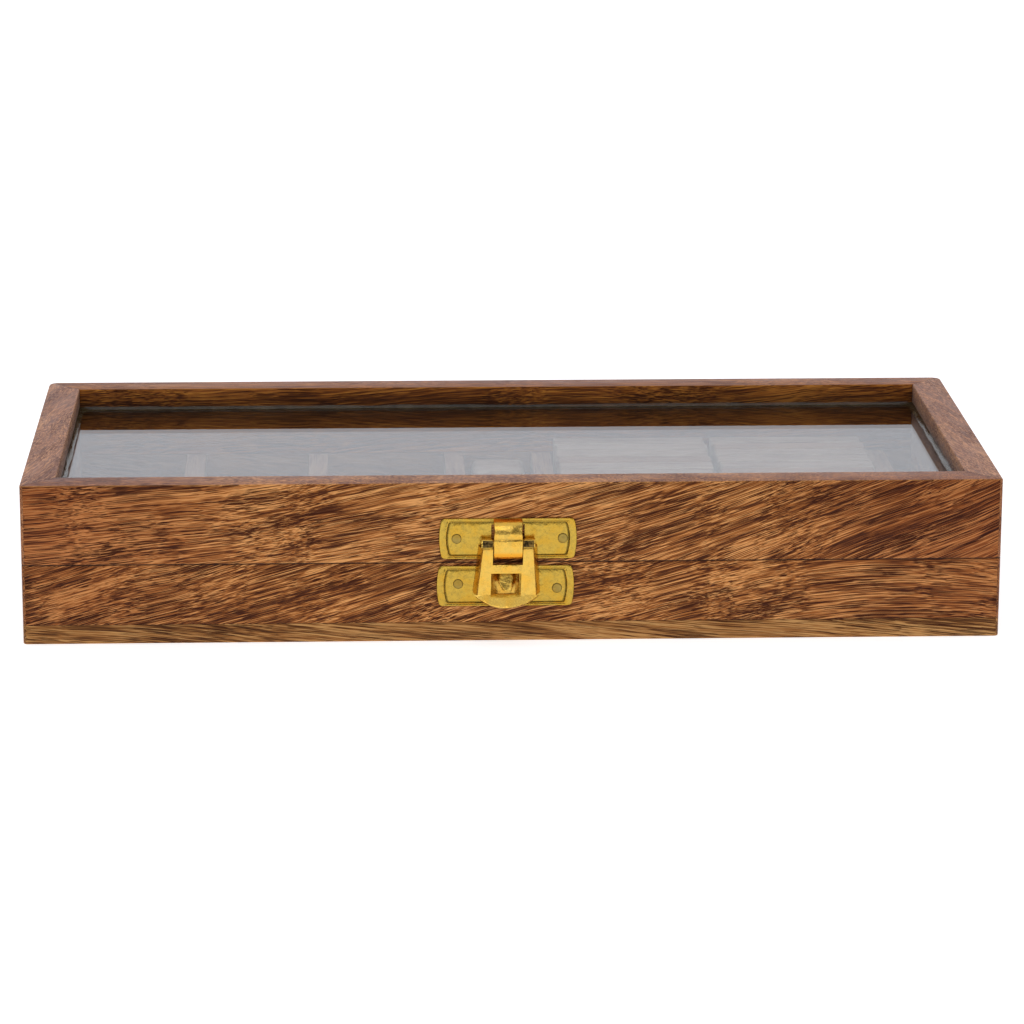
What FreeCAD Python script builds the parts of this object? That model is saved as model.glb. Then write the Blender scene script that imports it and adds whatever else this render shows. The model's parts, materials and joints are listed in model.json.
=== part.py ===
import FreeCAD, Part
import math
import os
import Sketcher

# Compartmented wooden display case with a hinged glass lid and a brass swing hasp.
# Millimetres. X runs along the case, -Y is the front with the hasp, +Z is up.
# The origin is the middle of the underside, on the surface that the case stands on.

document = FreeCAD.newDocument("DisplayCase")
sheet = document.addObject("Spreadsheet::Sheet", "Sizes")

DRIVING_SIZES = {
    # carcass
    "case_width": 300.0,
    "case_depth": 140.0,
    "case_height": 50.0,
    "parting_height": 25.0,
    "wall": 10.5,
    "board_thickness": 6.0,
    "corner_radius": 1.4,
    "edge_ease": 0.5,
    # glazing
    "glass_thickness": 3.0,
    "glass_top_drop": 7.0,
    "groove_depth": 4.0,
    "groove_play": 0.05,
    "bead_leg": 1.7,
    "bead_feather": 0.05,
    # partitions
    "partition_thickness": 6.3,
    "housing_depth": 2.5,
    "housing_play": 0.1,
    "partition_one_place": -100.75,
    "partition_two_place": -60.05,
    "partition_three_place": -14.8,
    "partition_four_place": 14.4,
    "partition_five_place": 126.95,
    # contents
    "tile_length": 50.4,
    "tile_thickness": 8.2,
    "tile_height": 24.0,
    "tile_pitch": 8.45,
    "tile_round": 0.7,
    "tile_wander": 0.35,
    "column_one_place": 43.9,
    "column_two_place": 96.6,
    "block_edge": 17.4,
    "block_round": 2.4,
    "block_gap": 1.2,
    # butt hinges
    "hinge_place": 95.0,
    "hinge_length": 25.0,
    "hinge_axis_proud": 0.9,
    "barrel_radius": 1.7,
    "hinge_pin_radius": 0.8,
    "hinge_pin_play": 0.05,
    "knuckle_gap": 0.2,
    "leaf_thickness": 0.9,
    "leaf_reach": 8.4,
    "leaf_play": 0.05,
    "barrel_room": 0.35,
    "hinge_screw_spread": 7.5,
    "hinge_screw_inset": 5.0,
    "screw_shank_radius": 0.6,
    "screw_head_radius": 1.4,
    "screw_length": 6.0,
    "screw_point": 1.0,
    # hasp plates
    "hasp_place": -1.7,
    "catch_place": -2.45,
    "plate_half_length": 21.1,
    "plate_half_height": 6.4,
    "plate_bow": 1.4,
    "plate_rim": 0.9,
    "panel_recess": 0.3,
    "panel_inset": 1.2,
    "top_plate_centre": 32.55,
    "catch_plate_centre": 17.6,
    # strap pressed out of the top plate; heights are from the plate's middle
    "strap_half_width": 4.2,
    "strap_room": 0.8,
    "strap_sheet": 0.7,
    "strap_root": 0.2,
    "strap_top": 6.05,
    "strap_root_depth": 1.1,
    "strap_shoulder": 1.35,
    "strap_knee": -3.15,
    "strap_end": -5.75,
    "strap_end_proud": 1.9,
    "strap_upper_curve": 5.2,
    "strap_lower_curve": 2.75,
    "slot_top": 4.55,
    "slot_bottom": -4.75,
    # lever; its heights are from the pivot
    "pivot_height": 31.5,
    "pivot_proud": 2.6,
    "pivot_radius": 1.0,
    "pivot_play": 0.1,
    "pivot_set_in": 0.8,
    "knuckle_radius": 1.7,
    "lever_sheet": 0.8,
    "lever_top_half_width": 7.4,
    "lever_bottom_half_width": 8.8,
    "lever_length": 16.2,
    "lever_flange_depth": 2.3,
    "lever_flange_splay": 1.2,
    "strap_window_half_width": 4.75,
    "strap_window_depth": 6.3,
    "stud_window_half_width": 4.4,
    "stud_window_top": 9.0,
    "stud_window_bottom": 17.1,
    "lip_drop": 3.2,
    "lip_sagitta": 3.4,
    "lip_root": 0.3,
    "cutter_over": 0.5,
    # stud pressed out of the catch plate
    "stud_place": -2.2,
    "stud_lift": 0.8,
    "stud_root": 0.2,
    "stud_half_width": 4.2,
    "stud_half_height": 4.0,
    "stud_height": 2.7,
    "stud_apex_drop": 1.9,
    "stud_tip_half_width": 0.6,
    # nails through the hasp plates
    "nail_head_radius": 1.6,
    "nail_head_height": 0.45,
    "nail_shank_radius": 0.45,
    "nail_length": 6.0,
    "nail_point": 0.6,
    "nail_hole_play": 0.02,
    "top_nail_left": -15.7,
    "top_nail_right": 16.75,
    "top_nail_height": 32.6,
    "catch_nail_left": -14.5,
    "catch_nail_right": 15.8,
    "catch_nail_left_height": 18.3,
    "catch_nail_right_height": 16.8,
}
for row, (alias, size) in enumerate(DRIVING_SIZES.items(), start=1):
    sheet.set(f"A{row}", alias)
    sheet.set(f"B{row}", str(size))
    sheet.setAlias(f"B{row}", alias)
document.recompute()

EXPORTED = []
TILES_PER_COLUMN = 14
HINGE_SIDES = {"left": -1, "right": 1}
PARTITIONS = ["one", "two", "three", "four", "five"]


def bound(expression):
    """Turn bare size names in an expression into references to the sheet."""
    words = sorted(DRIVING_SIZES, key=len, reverse=True)
    text = str(expression)
    for index, word in enumerate(words):
        text = text.replace(word, f"<{index}>")
    for index, word in enumerate(words):
        text = text.replace(f"<{index}>", f"Sizes.{word}")
    return text


def value(expression):
    """The present number of an expression."""
    result = sheet.evalExpression(bound(expression))
    return float(getattr(result, "Value", result))


def bind(thing, path, expression):
    thing.setExpression(path, bound(expression))


def bind_place(thing, x=0, y=0, z=0, path="Placement"):
    for axis, expression in zip("xyz", (x, y, z)):
        if expression != 0:
            bind(thing, f"{path}.Base.{axis}", expression)


def export(thing, label):
    """Give a finished sub-part its label, which names its file."""
    thing.Label = label
    EXPORTED.append(thing)
    return thing


def new_body(label, x=0, y=0, z=0, quarter_turns=0, exported=True):
    """A PartDesign body standing at (x, y, z), turned about Z by quarter turns."""
    body = document.addObject("PartDesign::Body", "Body")
    turn = FreeCAD.Rotation(FreeCAD.Vector(0, 0, 1), 90.0 * quarter_turns)
    body.Placement = FreeCAD.Placement(FreeCAD.Vector(), turn)
    bind_place(body, x, y, z)
    if exported:
        export(body, label)
    return body


def new_sketch(body, plane, offset=0):
    """A sketch on one of the body's origin planes, lifted along the plane's normal."""
    sketch = body.newObject("Sketcher::SketchObject", "Sketch")
    support = [item for item in body.Origin.OriginFeatures if item.Role == plane][0]
    sketch.AttachmentSupport = [(support, "")]
    sketch.MapMode = "FlatFace"
    if offset != 0:
        bind(sketch, "AttachmentOffset.Base.z", offset)
    return sketch


def side_geometry(start, end, bulge):
    """A straight side, or an arc of radius |bulge| that swells to the right when positive."""
    if not bulge:
        return Part.LineSegment(start, end), 1, 2
    radius = abs(bulge)
    chord = end - start
    middle = (start + end) * 0.5
    to_right = FreeCAD.Vector(chord.y, -chord.x, 0).normalize()
    reach = math.sqrt(max(radius**2 - (chord.Length / 2) ** 2, 0.0))
    centre = middle - to_right * reach * math.copysign(1, bulge)
    angles = [math.atan2(point.y - centre.y, point.x - centre.x) for point in (start, end)]
    if bulge < 0:
        angles.reverse()
    circle = Part.Circle(centre, FreeCAD.Vector(0, 0, 1), radius)
    arc = Part.ArcOfCircle(circle, angles[0], angles[1])
    return (arc, 1, 2) if bulge > 0 else (arc, 2, 1)


def outline(sketch, corners, bulges=None):
    """Close a profile through corners. Each corner is a pair of expressions, and bulges
    maps a side's number to the expression for its arc radius."""
    bulges = bulges or {}
    points = [FreeCAD.Vector(value(x), value(y), 0) for x, y in corners]
    sides = []
    for number, start in enumerate(points):
        end = points[(number + 1) % len(points)]
        bulge = value(bulges[number]) if number in bulges else 0
        geometry, first, last = side_geometry(start, end, bulge)
        sides.append((sketch.addGeometry(geometry, False), first, last))
    for number, (side, first, last) in enumerate(sides):
        after, after_first, _ = sides[(number + 1) % len(sides)]
        sketch.addConstraint(Sketcher.Constraint("Coincident", side, last, after, after_first))
        corner = points[number]
        for kind, number_now, expression in (
            ("DistanceX", corner.x, corners[number][0]),
            ("DistanceY", corner.y, corners[number][1]),
        ):
            constraint = Sketcher.Constraint(kind, -1, 1, side, first, number_now)
            index = sketch.addConstraint(constraint)
            bind(sketch, f"Constraints[{index}]", expression)
        if number in bulges:
            radius = abs(value(bulges[number]))
            index = sketch.addConstraint(Sketcher.Constraint("Radius", side, radius))
            bind(sketch, f"Constraints[{index}]", f"abs({bulges[number]})")
    return sketch


def pad(body, sketch, length, midplane=False, reverse=False):
    feature = body.newObject("PartDesign::Pad", "Pad")
    feature.Profile = sketch
    feature.Midplane = midplane
    feature.Reversed = reverse
    bind(feature, "Length", length)
    return feature


def pocket_through(body, sketch):
    """Cut the sketch's area right through the body, both ways from its plane."""
    feature = body.newObject("PartDesign::Pocket", "Pocket")
    feature.Profile = sketch
    feature.Type = "ThroughAll"
    feature.Midplane = True
    return feature


def pocket(body, sketch, depth, reverse=False):
    feature = body.newObject("PartDesign::Pocket", "Pocket")
    feature.Profile = sketch
    feature.Reversed = reverse
    bind(feature, "Length", depth)
    return feature


def box(body, sizes, centre, base_z, cut=False):
    """An additive or subtractive box centred at centre in X and Y, standing on base_z."""
    kind = "PartDesign::SubtractiveBox" if cut else "PartDesign::AdditiveBox"
    feature = body.newObject(kind, "Box")
    for name, expression in zip(("Length", "Width", "Height"), sizes):
        bind(feature, name, expression)
    bind(feature, "Placement.Base.x", f"{centre[0]} - ({sizes[0]}) / 2")
    bind(feature, "Placement.Base.y", f"{centre[1]} - ({sizes[1]}) / 2")
    bind(feature, "Placement.Base.z", base_z)
    return feature


AXIS_TURNS = {
    "X": FreeCAD.Rotation(FreeCAD.Vector(0, 1, 0), 90.0),
    "Y": FreeCAD.Rotation(FreeCAD.Vector(1, 0, 0), -90.0),
    "-Y": FreeCAD.Rotation(FreeCAD.Vector(1, 0, 0), 90.0),
    "Z": FreeCAD.Rotation(),
    "-Z": FreeCAD.Rotation(FreeCAD.Vector(1, 0, 0), 180.0),
}


def rod(body, radius, length, start, axis, cut=False):
    """An additive or subtractive cylinder that runs from start along axis."""
    kind = "PartDesign::SubtractiveCylinder" if cut else "PartDesign::AdditiveCylinder"
    feature = body.newObject(kind, "Rod")
    feature.Placement = FreeCAD.Placement(FreeCAD.Vector(), AXIS_TURNS[axis])
    bind(feature, "Radius", radius)
    bind(feature, "Height", length)
    bind_place(feature, *start)
    return feature


def ease(body, radius, chosen=None):
    """Round the body's chosen edges, or all of them. chosen tests one edge's geometry."""
    document.recompute()
    base = body.Tip
    feature = body.newObject("PartDesign::Fillet", "Ease")
    if chosen is None:
        feature.Base = (base, [""])
        feature.UseAllEdges = True
    else:
        names = [
            f"Edge{number}"
            for number, edge in enumerate(base.Shape.Edges, start=1)
            if chosen(edge)
        ]
        feature.Base = (base, names)
    bind(feature, "Radius", radius)
    return feature


# ---- frame rails ---------------------------------------------------------------------------

MITRE_SET_BACK = "corner_radius * (1 - sqrt(2) / 2)"


def rail(label, length, outward, quarter_turns, base_z, rail_height):
    """A mitred frame rail. Turned back to its own frame it runs along X with its outer face
    at Y = -outward, and its two outer corners carry half of the frame's rounded corner."""
    body = new_body(label, z=base_z, quarter_turns=quarter_turns)
    half = f"{length} / 2"
    sketch = new_sketch(body, "XY_Plane")
    corners = [
        (f"-({half}) + corner_radius", f"-({outward})"),
        (f"{half} - corner_radius", f"-({outward})"),
        (f"{half} - {MITRE_SET_BACK}", f"-({outward}) + {MITRE_SET_BACK}"),
        (f"{half} - wall", f"-({outward}) + wall"),
        (f"-({half}) + wall", f"-({outward}) + wall"),
        (f"-({half}) + {MITRE_SET_BACK}", f"-({outward}) + {MITRE_SET_BACK}"),
    ]
    outline(sketch, corners, {1: "corner_radius", 5: "corner_radius"})
    pad(body, sketch, rail_height)
    return body


def groove(body, outward):
    """The glass groove, ploughed along the whole inner face of a lid rail."""
    inner = f"-({outward}) + wall"
    low = "case_height - glass_top_drop - glass_thickness - groove_play - parting_height"
    high = "case_height - glass_top_drop + groove_play - parting_height"
    sketch = new_sketch(body, "YZ_Plane")
    corners = [
        (f"{inner} - groove_depth", low),
        (f"{inner} + wall", low),
        (f"{inner} + wall", high),
        (f"{inner} - groove_depth", high),
    ]
    outline(sketch, corners)
    pocket_through(body, sketch)


def ease_outer_rim(body, outward, level):
    """Ease the edge between a rail's outer face and its top or bottom face."""
    face = -value(outward)
    height_now = value(level)
    reach = value("corner_radius")

    def on_rim(edge):
        box_now = edge.BoundBox
        flat = abs(box_now.ZMin - height_now) < 1e-6 and abs(box_now.ZMax - height_now) < 1e-6
        return flat and box_now.YMax < face + reach

    ease(body, "edge_ease", on_rim)


def hinge_housing(body, face_z, into):
    """Sink both hinge leaves, their barrels and their screws into a back rail. In the rail's
    own frame the outer face looks along -Y, and into is +1 when the rail is above face_z."""
    axis_y = "-(case_depth / 2) - hinge_axis_proud"
    depth = "leaf_thickness + 2 * leaf_play"
    for side in HINGE_SIDES.values():
        place = f"{side} * hinge_place"
        reach = "leaf_reach - hinge_axis_proud + leaf_play"
        base_z = face_z if into > 0 else f"{face_z} - ({depth})"
        sizes = ("hinge_length + 2 * leaf_play", reach, depth)
        centre = (place, f"-(case_depth / 2) + ({reach}) / 2")
        box(body, sizes, centre, base_z, cut=True)
        room = "hinge_length / 2 + barrel_room"
        start = (f"{place} - ({room})", axis_y, face_z)
        rod(body, "barrel_radius + barrel_room", f"2 * ({room})", start, "X", cut=True)
        for spread in (-1, 1):
            start = (
                f"{place} + {spread} * hinge_screw_spread",
                "-(case_depth / 2) + hinge_screw_inset",
                face_z,
            )
            axis = "Z" if into > 0 else "-Z"
            radius = "screw_shank_radius + nail_hole_play"
            rod(body, radius, "screw_length + cutter_over", start, axis, cut=True)


def nail_holes(body, places, base_z):
    """Holes for the hasp nails in a front rail's outer face."""
    for x, z in places:
        start = (x, "-(case_depth / 2)", f"{z} - ({base_z})")
        radius = "nail_shank_radius + nail_hole_play"
        rod(body, radius, "nail_length + cutter_over", start, "Y", cut=True)


def partition_housings(body, quarter_turns):
    """Cut the housings for the partition ends into the inner face of a base rail."""
    mirror = 1 if quarter_turns == 0 else -1
    for name in PARTITIONS:
        place = f"{mirror} * partition_{name}_place"
        sizes = (
            "partition_thickness + 2 * housing_play",
            "housing_depth + housing_play",
            "parting_height - board_thickness",
        )
        centre = (place, f"-(case_depth / 2) + wall - ({sizes[1]}) / 2")
        box(body, sizes, centre, "0", cut=True)


RAILS = {
    # name: (length, distance of the outer face from the middle, quarter turns)
    "front": ("case_width", "case_depth / 2", 0),
    "right": ("case_depth", "case_width / 2", 1),
    "back": ("case_width", "case_depth / 2", 2),
    "left": ("case_depth", "case_width / 2", 3),
}
TOP_NAILS = [
    ("hasp_place + top_nail_left", "top_nail_height"),
    ("hasp_place + top_nail_right", "top_nail_height"),
]
CATCH_NAILS = [
    ("catch_place + catch_nail_left", "catch_nail_left_height"),
    ("catch_place + catch_nail_right", "catch_nail_right_height"),
]
LID_HEIGHT = "case_height - parting_height"
BASE_RAIL_HEIGHT = "parting_height - board_thickness"

for name, (length, outward, turns) in RAILS.items():
    lid_rail = rail(f"lid_{name}_rail", length, outward, turns, "parting_height", LID_HEIGHT)
    groove(lid_rail, outward)
    ease_outer_rim(lid_rail, outward, LID_HEIGHT)
    base_rail = rail(
        f"base_{name}_rail", length, outward, turns, "board_thickness", BASE_RAIL_HEIGHT
    )
    if name == "front":
        nail_holes(lid_rail, TOP_NAILS, "parting_height")
        nail_holes(base_rail, CATCH_NAILS, "board_thickness")
    if name == "back":
        hinge_housing(lid_rail, "0", 1)
        hinge_housing(base_rail, BASE_RAIL_HEIGHT, -1)
    if name in ("front", "back"):
        partition_housings(base_rail, turns)

# ---- bottom board --------------------------------------------------------------------------

board = new_body("bottom_board")
half_x = "case_width / 2"
half_y = "case_depth / 2"
board_corners = []
for sign_x, sign_y in ((-1, -1), (1, -1), (1, 1), (-1, 1)):
    along_x = (f"{sign_x} * ({half_x} - corner_radius)", f"{sign_y} * {half_y}")
    along_y = (f"{sign_x} * {half_x}", f"{sign_y} * ({half_y} - corner_radius)")
    pair = [along_y, along_x] if sign_x * sign_y > 0 else [along_x, along_y]
    board_corners += pair
board_sketch = new_sketch(board, "XY_Plane")
outline(board_sketch, board_corners, {number: "corner_radius" for number in (0, 2, 4, 6)})
pad(board, board_sketch, "board_thickness")

# ---- glazing -------------------------------------------------------------------------------

INNER_WIDTH = "case_width - 2 * wall"
INNER_DEPTH = "case_depth - 2 * wall"

glass = new_body("glass_pane", z="case_height - glass_top_drop - glass_thickness")
tongue = "2 * (groove_depth - 4 * groove_play)"
glass_sizes = (f"{INNER_WIDTH} + {tongue}", f"{INNER_DEPTH} + {tongue}", "glass_thickness")
box(glass, glass_sizes, ("0", "0"), "0")

bead = new_body("glass_sealant_bead", z="case_height - glass_top_drop")
box(bead, (INNER_WIDTH, INNER_DEPTH, "bead_leg"), ("0", "0"), "0")
opening = bead.newObject("PartDesign::SubtractiveWedge", "Opening")
opening.Placement = FreeCAD.Placement(FreeCAD.Vector(), AXIS_TURNS["-Y"])
for axis, second, half_inner in (
    ("X", "X2", f"({INNER_WIDTH}) / 2"),
    ("Z", "Z2", f"({INNER_DEPTH}) / 2"),
):
    for end, sign in (("min", -1), ("max", 1)):
        bind(opening, f"{axis}{end}", f"{sign} * ({half_inner} - bead_leg)")
        bind(opening, f"{second}{end}", f"{sign} * ({half_inner} - bead_feather)")
bind(opening, "Ymin", "0")
bind(opening, "Ymax", "bead_leg")

# ---- partitions ----------------------------------------------------------------------------

for number, name in enumerate(PARTITIONS, start=1):
    strip = new_body(f"partition_{number}", x=f"partition_{name}_place", z="board_thickness")
    sizes = ("partition_thickness", f"{INNER_DEPTH} + 2 * housing_depth", BASE_RAIL_HEIGHT)
    box(strip, sizes, ("0", "0"), "0")

# ---- contents ------------------------------------------------------------------------------

for column in ("one", "two"):
    for number in range(TILES_PER_COLUMN):
        row_place = number - (TILES_PER_COLUMN - 1) / 2
        wander = math.sin(2.4 * number + 1.3 * len(column) + (0.9 if column == "two" else 0.0))
        tile = new_body(
            f"tile_{column}_{number + 1:02d}",
            x=f"column_{column}_place + tile_wander * {wander:.3f}",
            y=f"tile_pitch * {row_place}",
            z="board_thickness",
        )
        box(tile, ("tile_length", "tile_thickness", "tile_height"), ("0", "0"), "0")
        ease(tile, "tile_round")

for number in (1, 2):
    block = new_body(
        f"rounded_block_{number}",
        x="(partition_three_place + partition_four_place) / 2",
        y=f"({INNER_DEPTH}) / 2 - block_gap - block_edge / 2 - {number - 1} * (block_edge + block_gap)",
        z="board_thickness",
    )
    box(block, ("block_edge", "block_edge", "block_edge"), ("0", "0"), "0")
    ease(block, "block_round")

# ---- butt hinges ---------------------------------------------------------------------------

KNUCKLE_PITCH = "hinge_length / 3"


def hinge_leaf(side_name, side, upper):
    """One leaf with its knuckles, in a frame whose origin is the middle of the hinge axis."""
    owner = "lid" if upper else "base"
    body = new_body(
        f"hinge_{side_name}_{owner}_leaf",
        x=f"{side} * hinge_place",
        y="case_depth / 2 + hinge_axis_proud",
        z="parting_height",
    )
    plate_z = "leaf_play" if upper else "-(leaf_play) - leaf_thickness"
    plate_reach = "leaf_reach - barrel_radius - knuckle_gap"
    plate_y = f"-(barrel_radius) - knuckle_gap - ({plate_reach}) / 2"
    box(body, ("hinge_length", plate_reach, "leaf_thickness"), ("0", plate_y), plate_z)
    knuckles = (0,) if upper else (-1, 1)
    length = f"{KNUCKLE_PITCH} - knuckle_gap"
    for knuckle in knuckles:
        middle = f"{knuckle} * ({KNUCKLE_PITCH} + knuckle_gap / 2)"
        tab = "barrel_radius + knuckle_gap"
        box(body, (length, tab, "leaf_thickness"), (middle, f"-({tab}) / 2"), plate_z)
        start = (f"{middle} - ({length}) / 2", "0", "0")
        rod(body, "barrel_radius", length, start, "X")
        bore = "hinge_pin_radius + hinge_pin_play" if upper else "hinge_pin_radius"
        start = (f"{middle} - ({length})", "0", "0")
        rod(body, bore, f"2 * ({length})", start, "X", cut=True)
    for spread in (-1, 1):
        x = f"{spread} * hinge_screw_spread"
        y = "-(hinge_screw_inset) - hinge_axis_proud"
        start = (x, y, f"{plate_z} - leaf_play")
        radius = "screw_head_radius + nail_hole_play"
        rod(body, radius, "leaf_thickness + 2 * leaf_play", start, "Z", cut=True)
    return body


def hinge_pin(side_name, side):
    body = new_body(
        f"hinge_{side_name}_pin",
        x=f"{side} * hinge_place",
        y="case_depth / 2 + hinge_axis_proud",
        z="parting_height",
    )
    start = ("-(hinge_length) / 2", "0", "0")
    rod(body, "hinge_pin_radius", "hinge_length", start, "X")


def lathe_turned(label, profile, bulges, x, y, z, axis):
    """A small turned piece: its half profile, in (radius, height), spun about its own axis."""
    body = new_body(label, exported=False)
    body.Placement = FreeCAD.Placement(FreeCAD.Vector(), AXIS_TURNS[axis])
    bind_place(body, x, y, z)
    sketch = outline(new_sketch(body, "XZ_Plane"), profile, bulges)
    turned = body.newObject("PartDesign::Revolution", "Turned")
    turned.Profile = sketch
    turned.ReferenceAxis = (sketch, ["V_Axis"])
    turned.Angle = 360.0
    body.Label = label
    return body


def group(label, pieces):
    """Several separate solids of one kind, kept together as one sub-part."""
    compound = document.addObject("Part::Compound", "Group")
    compound.Links = pieces
    export(compound, label)


def hinge_screw(x, z, axis):
    """A countersunk screw whose head is flush with the hinge leaf. Local +Z is its point."""
    profile = [
        ("0", "0"),
        ("screw_head_radius", "0"),
        ("screw_shank_radius", "leaf_thickness"),
        ("screw_shank_radius", "screw_length - screw_point"),
        ("0", "screw_length"),
    ]
    y = "case_depth / 2 - hinge_screw_inset"
    return lathe_turned("hinge_screw", profile, {}, x, y, z, axis)


for side_name, side in HINGE_SIDES.items():
    hinge_leaf(side_name, side, upper=True)
    hinge_leaf(side_name, side, upper=False)
    hinge_pin(side_name, side)

for owner, level, axis in (
    ("lid", "parting_height + leaf_play", "Z"),
    ("base", "parting_height - leaf_play", "-Z"),
):
    screws = [
        hinge_screw(f"{side} * hinge_place + {spread} * hinge_screw_spread", level, axis)
        for side in HINGE_SIDES.values()
        for spread in (-1, 1)
    ]
    group(f"hinge_{owner}_screws", screws)

# ---- hasp ----------------------------------------------------------------------------------


def bowed_outline(sketch, inset):
    """A plate's face: straight along the top and bottom, bowed outwards at both ends."""
    half_x_now = f"(plate_half_length - plate_bow - {inset})"
    half_z_now = f"(plate_half_height - {inset})"
    radius = f"({half_z_now}^2 + plate_bow^2) / (2 * plate_bow)"
    corners = [
        (f"-1 * {half_x_now}", f"-1 * {half_z_now}"),
        (half_x_now, f"-1 * {half_z_now}"),
        (half_x_now, half_z_now),
        (f"-1 * {half_x_now}", half_z_now),
    ]
    return outline(sketch, corners, {1: radius, 3: radius})


def hasp_plate(label, x, z, nails):
    """A pressed plate with a raised rim round a sunk panel. Its own Y = 0 is the case's face."""
    body = new_body(label, x=x, y="-(case_depth) / 2", z=z)
    pad(body, bowed_outline(new_sketch(body, "XZ_Plane"), "0"), "plate_rim")
    panel = bowed_outline(new_sketch(body, "XZ_Plane", "plate_rim"), "panel_inset")
    pocket(body, panel, "panel_recess")
    for nail_x, nail_z in nails:
        start = (f"{nail_x} - ({x})", "-2 * plate_rim", f"{nail_z} - ({z})")
        rod(body, "nail_shank_radius + nail_hole_play", "3 * plate_rim", start, "Y", cut=True)
    return body


def top_plate():
    """The lid's hasp plate, with the strap that holds the lever's pivot bar to it."""
    body = hasp_plate("hasp_top_plate", "hasp_place", "top_plate_centre", TOP_NAILS)
    slot = new_sketch(body, "XZ_Plane")
    half_slot = "strap_half_width + strap_room"
    corners = [
        (f"-({half_slot})", "slot_bottom"),
        (half_slot, "slot_bottom"),
        (half_slot, "slot_top"),
        (f"-({half_slot})", "slot_top"),
    ]
    pocket_through(body, outline(slot, corners))
    inner = "pivot_proud + pivot_radius + pivot_play"
    outer = f"{inner} + strap_sheet"
    strap = new_sketch(body, "YZ_Plane")
    corners = [
        ("-(strap_root)", "strap_top"),
        (f"-({outer})", "strap_shoulder"),
        (f"-({outer})", "strap_knee"),
        ("-(strap_end_proud)", "strap_end"),
        ("-(strap_end_proud)", "strap_end + strap_sheet"),
        (f"-({inner})", "strap_knee"),
        (f"-({inner})", "strap_shoulder"),
        ("-(strap_root)", "strap_top - strap_root_depth"),
    ]
    bulges = {
        0: "strap_upper_curve",
        2: "strap_lower_curve",
        4: "-(strap_lower_curve - strap_sheet)",
        6: "-(strap_upper_curve - strap_sheet)",
    }
    outline(strap, corners, bulges)
    pad(body, strap, "2 * strap_half_width", midplane=True)


def lever_section(body, proud, inset, top, bottom):
    """The lever's outline at one depth: a trapezoid that widens towards its free end."""
    sketch = new_sketch(body, "XZ_Plane", proud)
    corners = [
        (f"-(lever_bottom_half_width) - ({inset})", bottom),
        (f"lever_bottom_half_width + ({inset})", bottom),
        (f"lever_top_half_width + ({inset})", top),
        (f"-(lever_top_half_width) - ({inset})", top),
    ]
    return outline(sketch, corners)


def loft(body, first, last, cut=False):
    kind = "PartDesign::SubtractiveLoft" if cut else "PartDesign::AdditiveLoft"
    feature = body.newObject(kind, "Loft")
    feature.Profile = first
    feature.Sections = [last]
    feature.Ruled = True
    return feature


def lever():
    """The swinging lever, in a frame whose origin is the middle of its pivot bar."""
    body = new_body(
        "hasp_lever", x="hasp_place", y="-(case_depth) / 2 - pivot_proud", z="pivot_height"
    )
    front = "knuckle_radius"
    back = "knuckle_radius - lever_sheet - lever_flange_depth"
    bottom = "-(lever_length)"
    face = lever_section(body, front, "0", "0", bottom)
    rear = lever_section(body, back, "lever_flange_splay", "0", bottom)
    loft(body, face, rear)
    hollow_front = f"{front} - lever_sheet"
    ends = ("cutter_over", f"{bottom} - cutter_over")
    face = lever_section(body, hollow_front, "-(lever_sheet)", *ends)
    inset = "lever_flange_splay - lever_sheet"
    rear = lever_section(body, f"{back} - cutter_over", inset, *ends)
    loft(body, face, rear, cut=True)
    finger_lip(body, front, hollow_front, bottom)

    # windows for the strap and for the stud
    for half_width, top, low in (
        ("strap_window_half_width", "cutter_over", "-(strap_window_depth)"),
        ("stud_window_half_width", "-(stud_window_top)", "-(stud_window_bottom)"),
    ):
        window = new_sketch(body, "XZ_Plane")
        corners = [
            (f"-({half_width})", low),
            (half_width, low),
            (half_width, top),
            (f"-({half_width})", top),
        ]
        pocket_through(body, outline(window, corners))

    # rolled knuckles and the pivot bar between them
    length = "lever_top_half_width - strap_window_half_width"
    for start_x in ("-(lever_top_half_width)", "strap_window_half_width"):
        rod(body, "knuckle_radius", length, (start_x, "0", "0"), "X")
    half_bar = "lever_top_half_width - pivot_set_in"
    rod(body, "pivot_radius", f"2 * ({half_bar})", (f"-({half_bar})", "0", "0"), "X")


def finger_lip(body, front, hollow_front, bottom):
    """The lever's free end: a segment of a circle seen from the front, flared at 45 degrees."""
    half_chord = "(lever_bottom_half_width + lever_flange_splay)"
    radius = f"({half_chord}^2 + lip_sagitta^2) / (2 * lip_sagitta)"
    segment = new_sketch(body, "XZ_Plane", hollow_front)
    corners = [
        (f"-({half_chord})", bottom),
        (half_chord, bottom),
        (half_chord, f"{bottom} + lip_root"),
        (f"-({half_chord})", f"{bottom} + lip_root"),
    ]
    outline(segment, corners, {0: radius})
    pad(body, segment, "lip_drop + lever_sheet")
    reach = "3 * lip_drop"
    far = f"-({front} + {reach})"
    waste = new_sketch(body, "YZ_Plane")
    above = [
        (f"-({front})", bottom),
        (far, f"{bottom} - {reach}"),
        (far, f"{bottom} + 2 * lip_root"),
        (f"-({front})", f"{bottom} + 2 * lip_root"),
    ]
    below = [
        (f"-({hollow_front})", f"{bottom} - lever_sheet * (sqrt(2) - 1)"),
        (f"-({hollow_front})", f"{bottom} - 2 * {reach}"),
        (far, f"{bottom} - 2 * {reach}"),
        (far, f"{bottom} - {reach} - lever_sheet * sqrt(2)"),
    ]
    outline(waste, above)
    outline(waste, below)
    pocket_through(body, waste)


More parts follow.
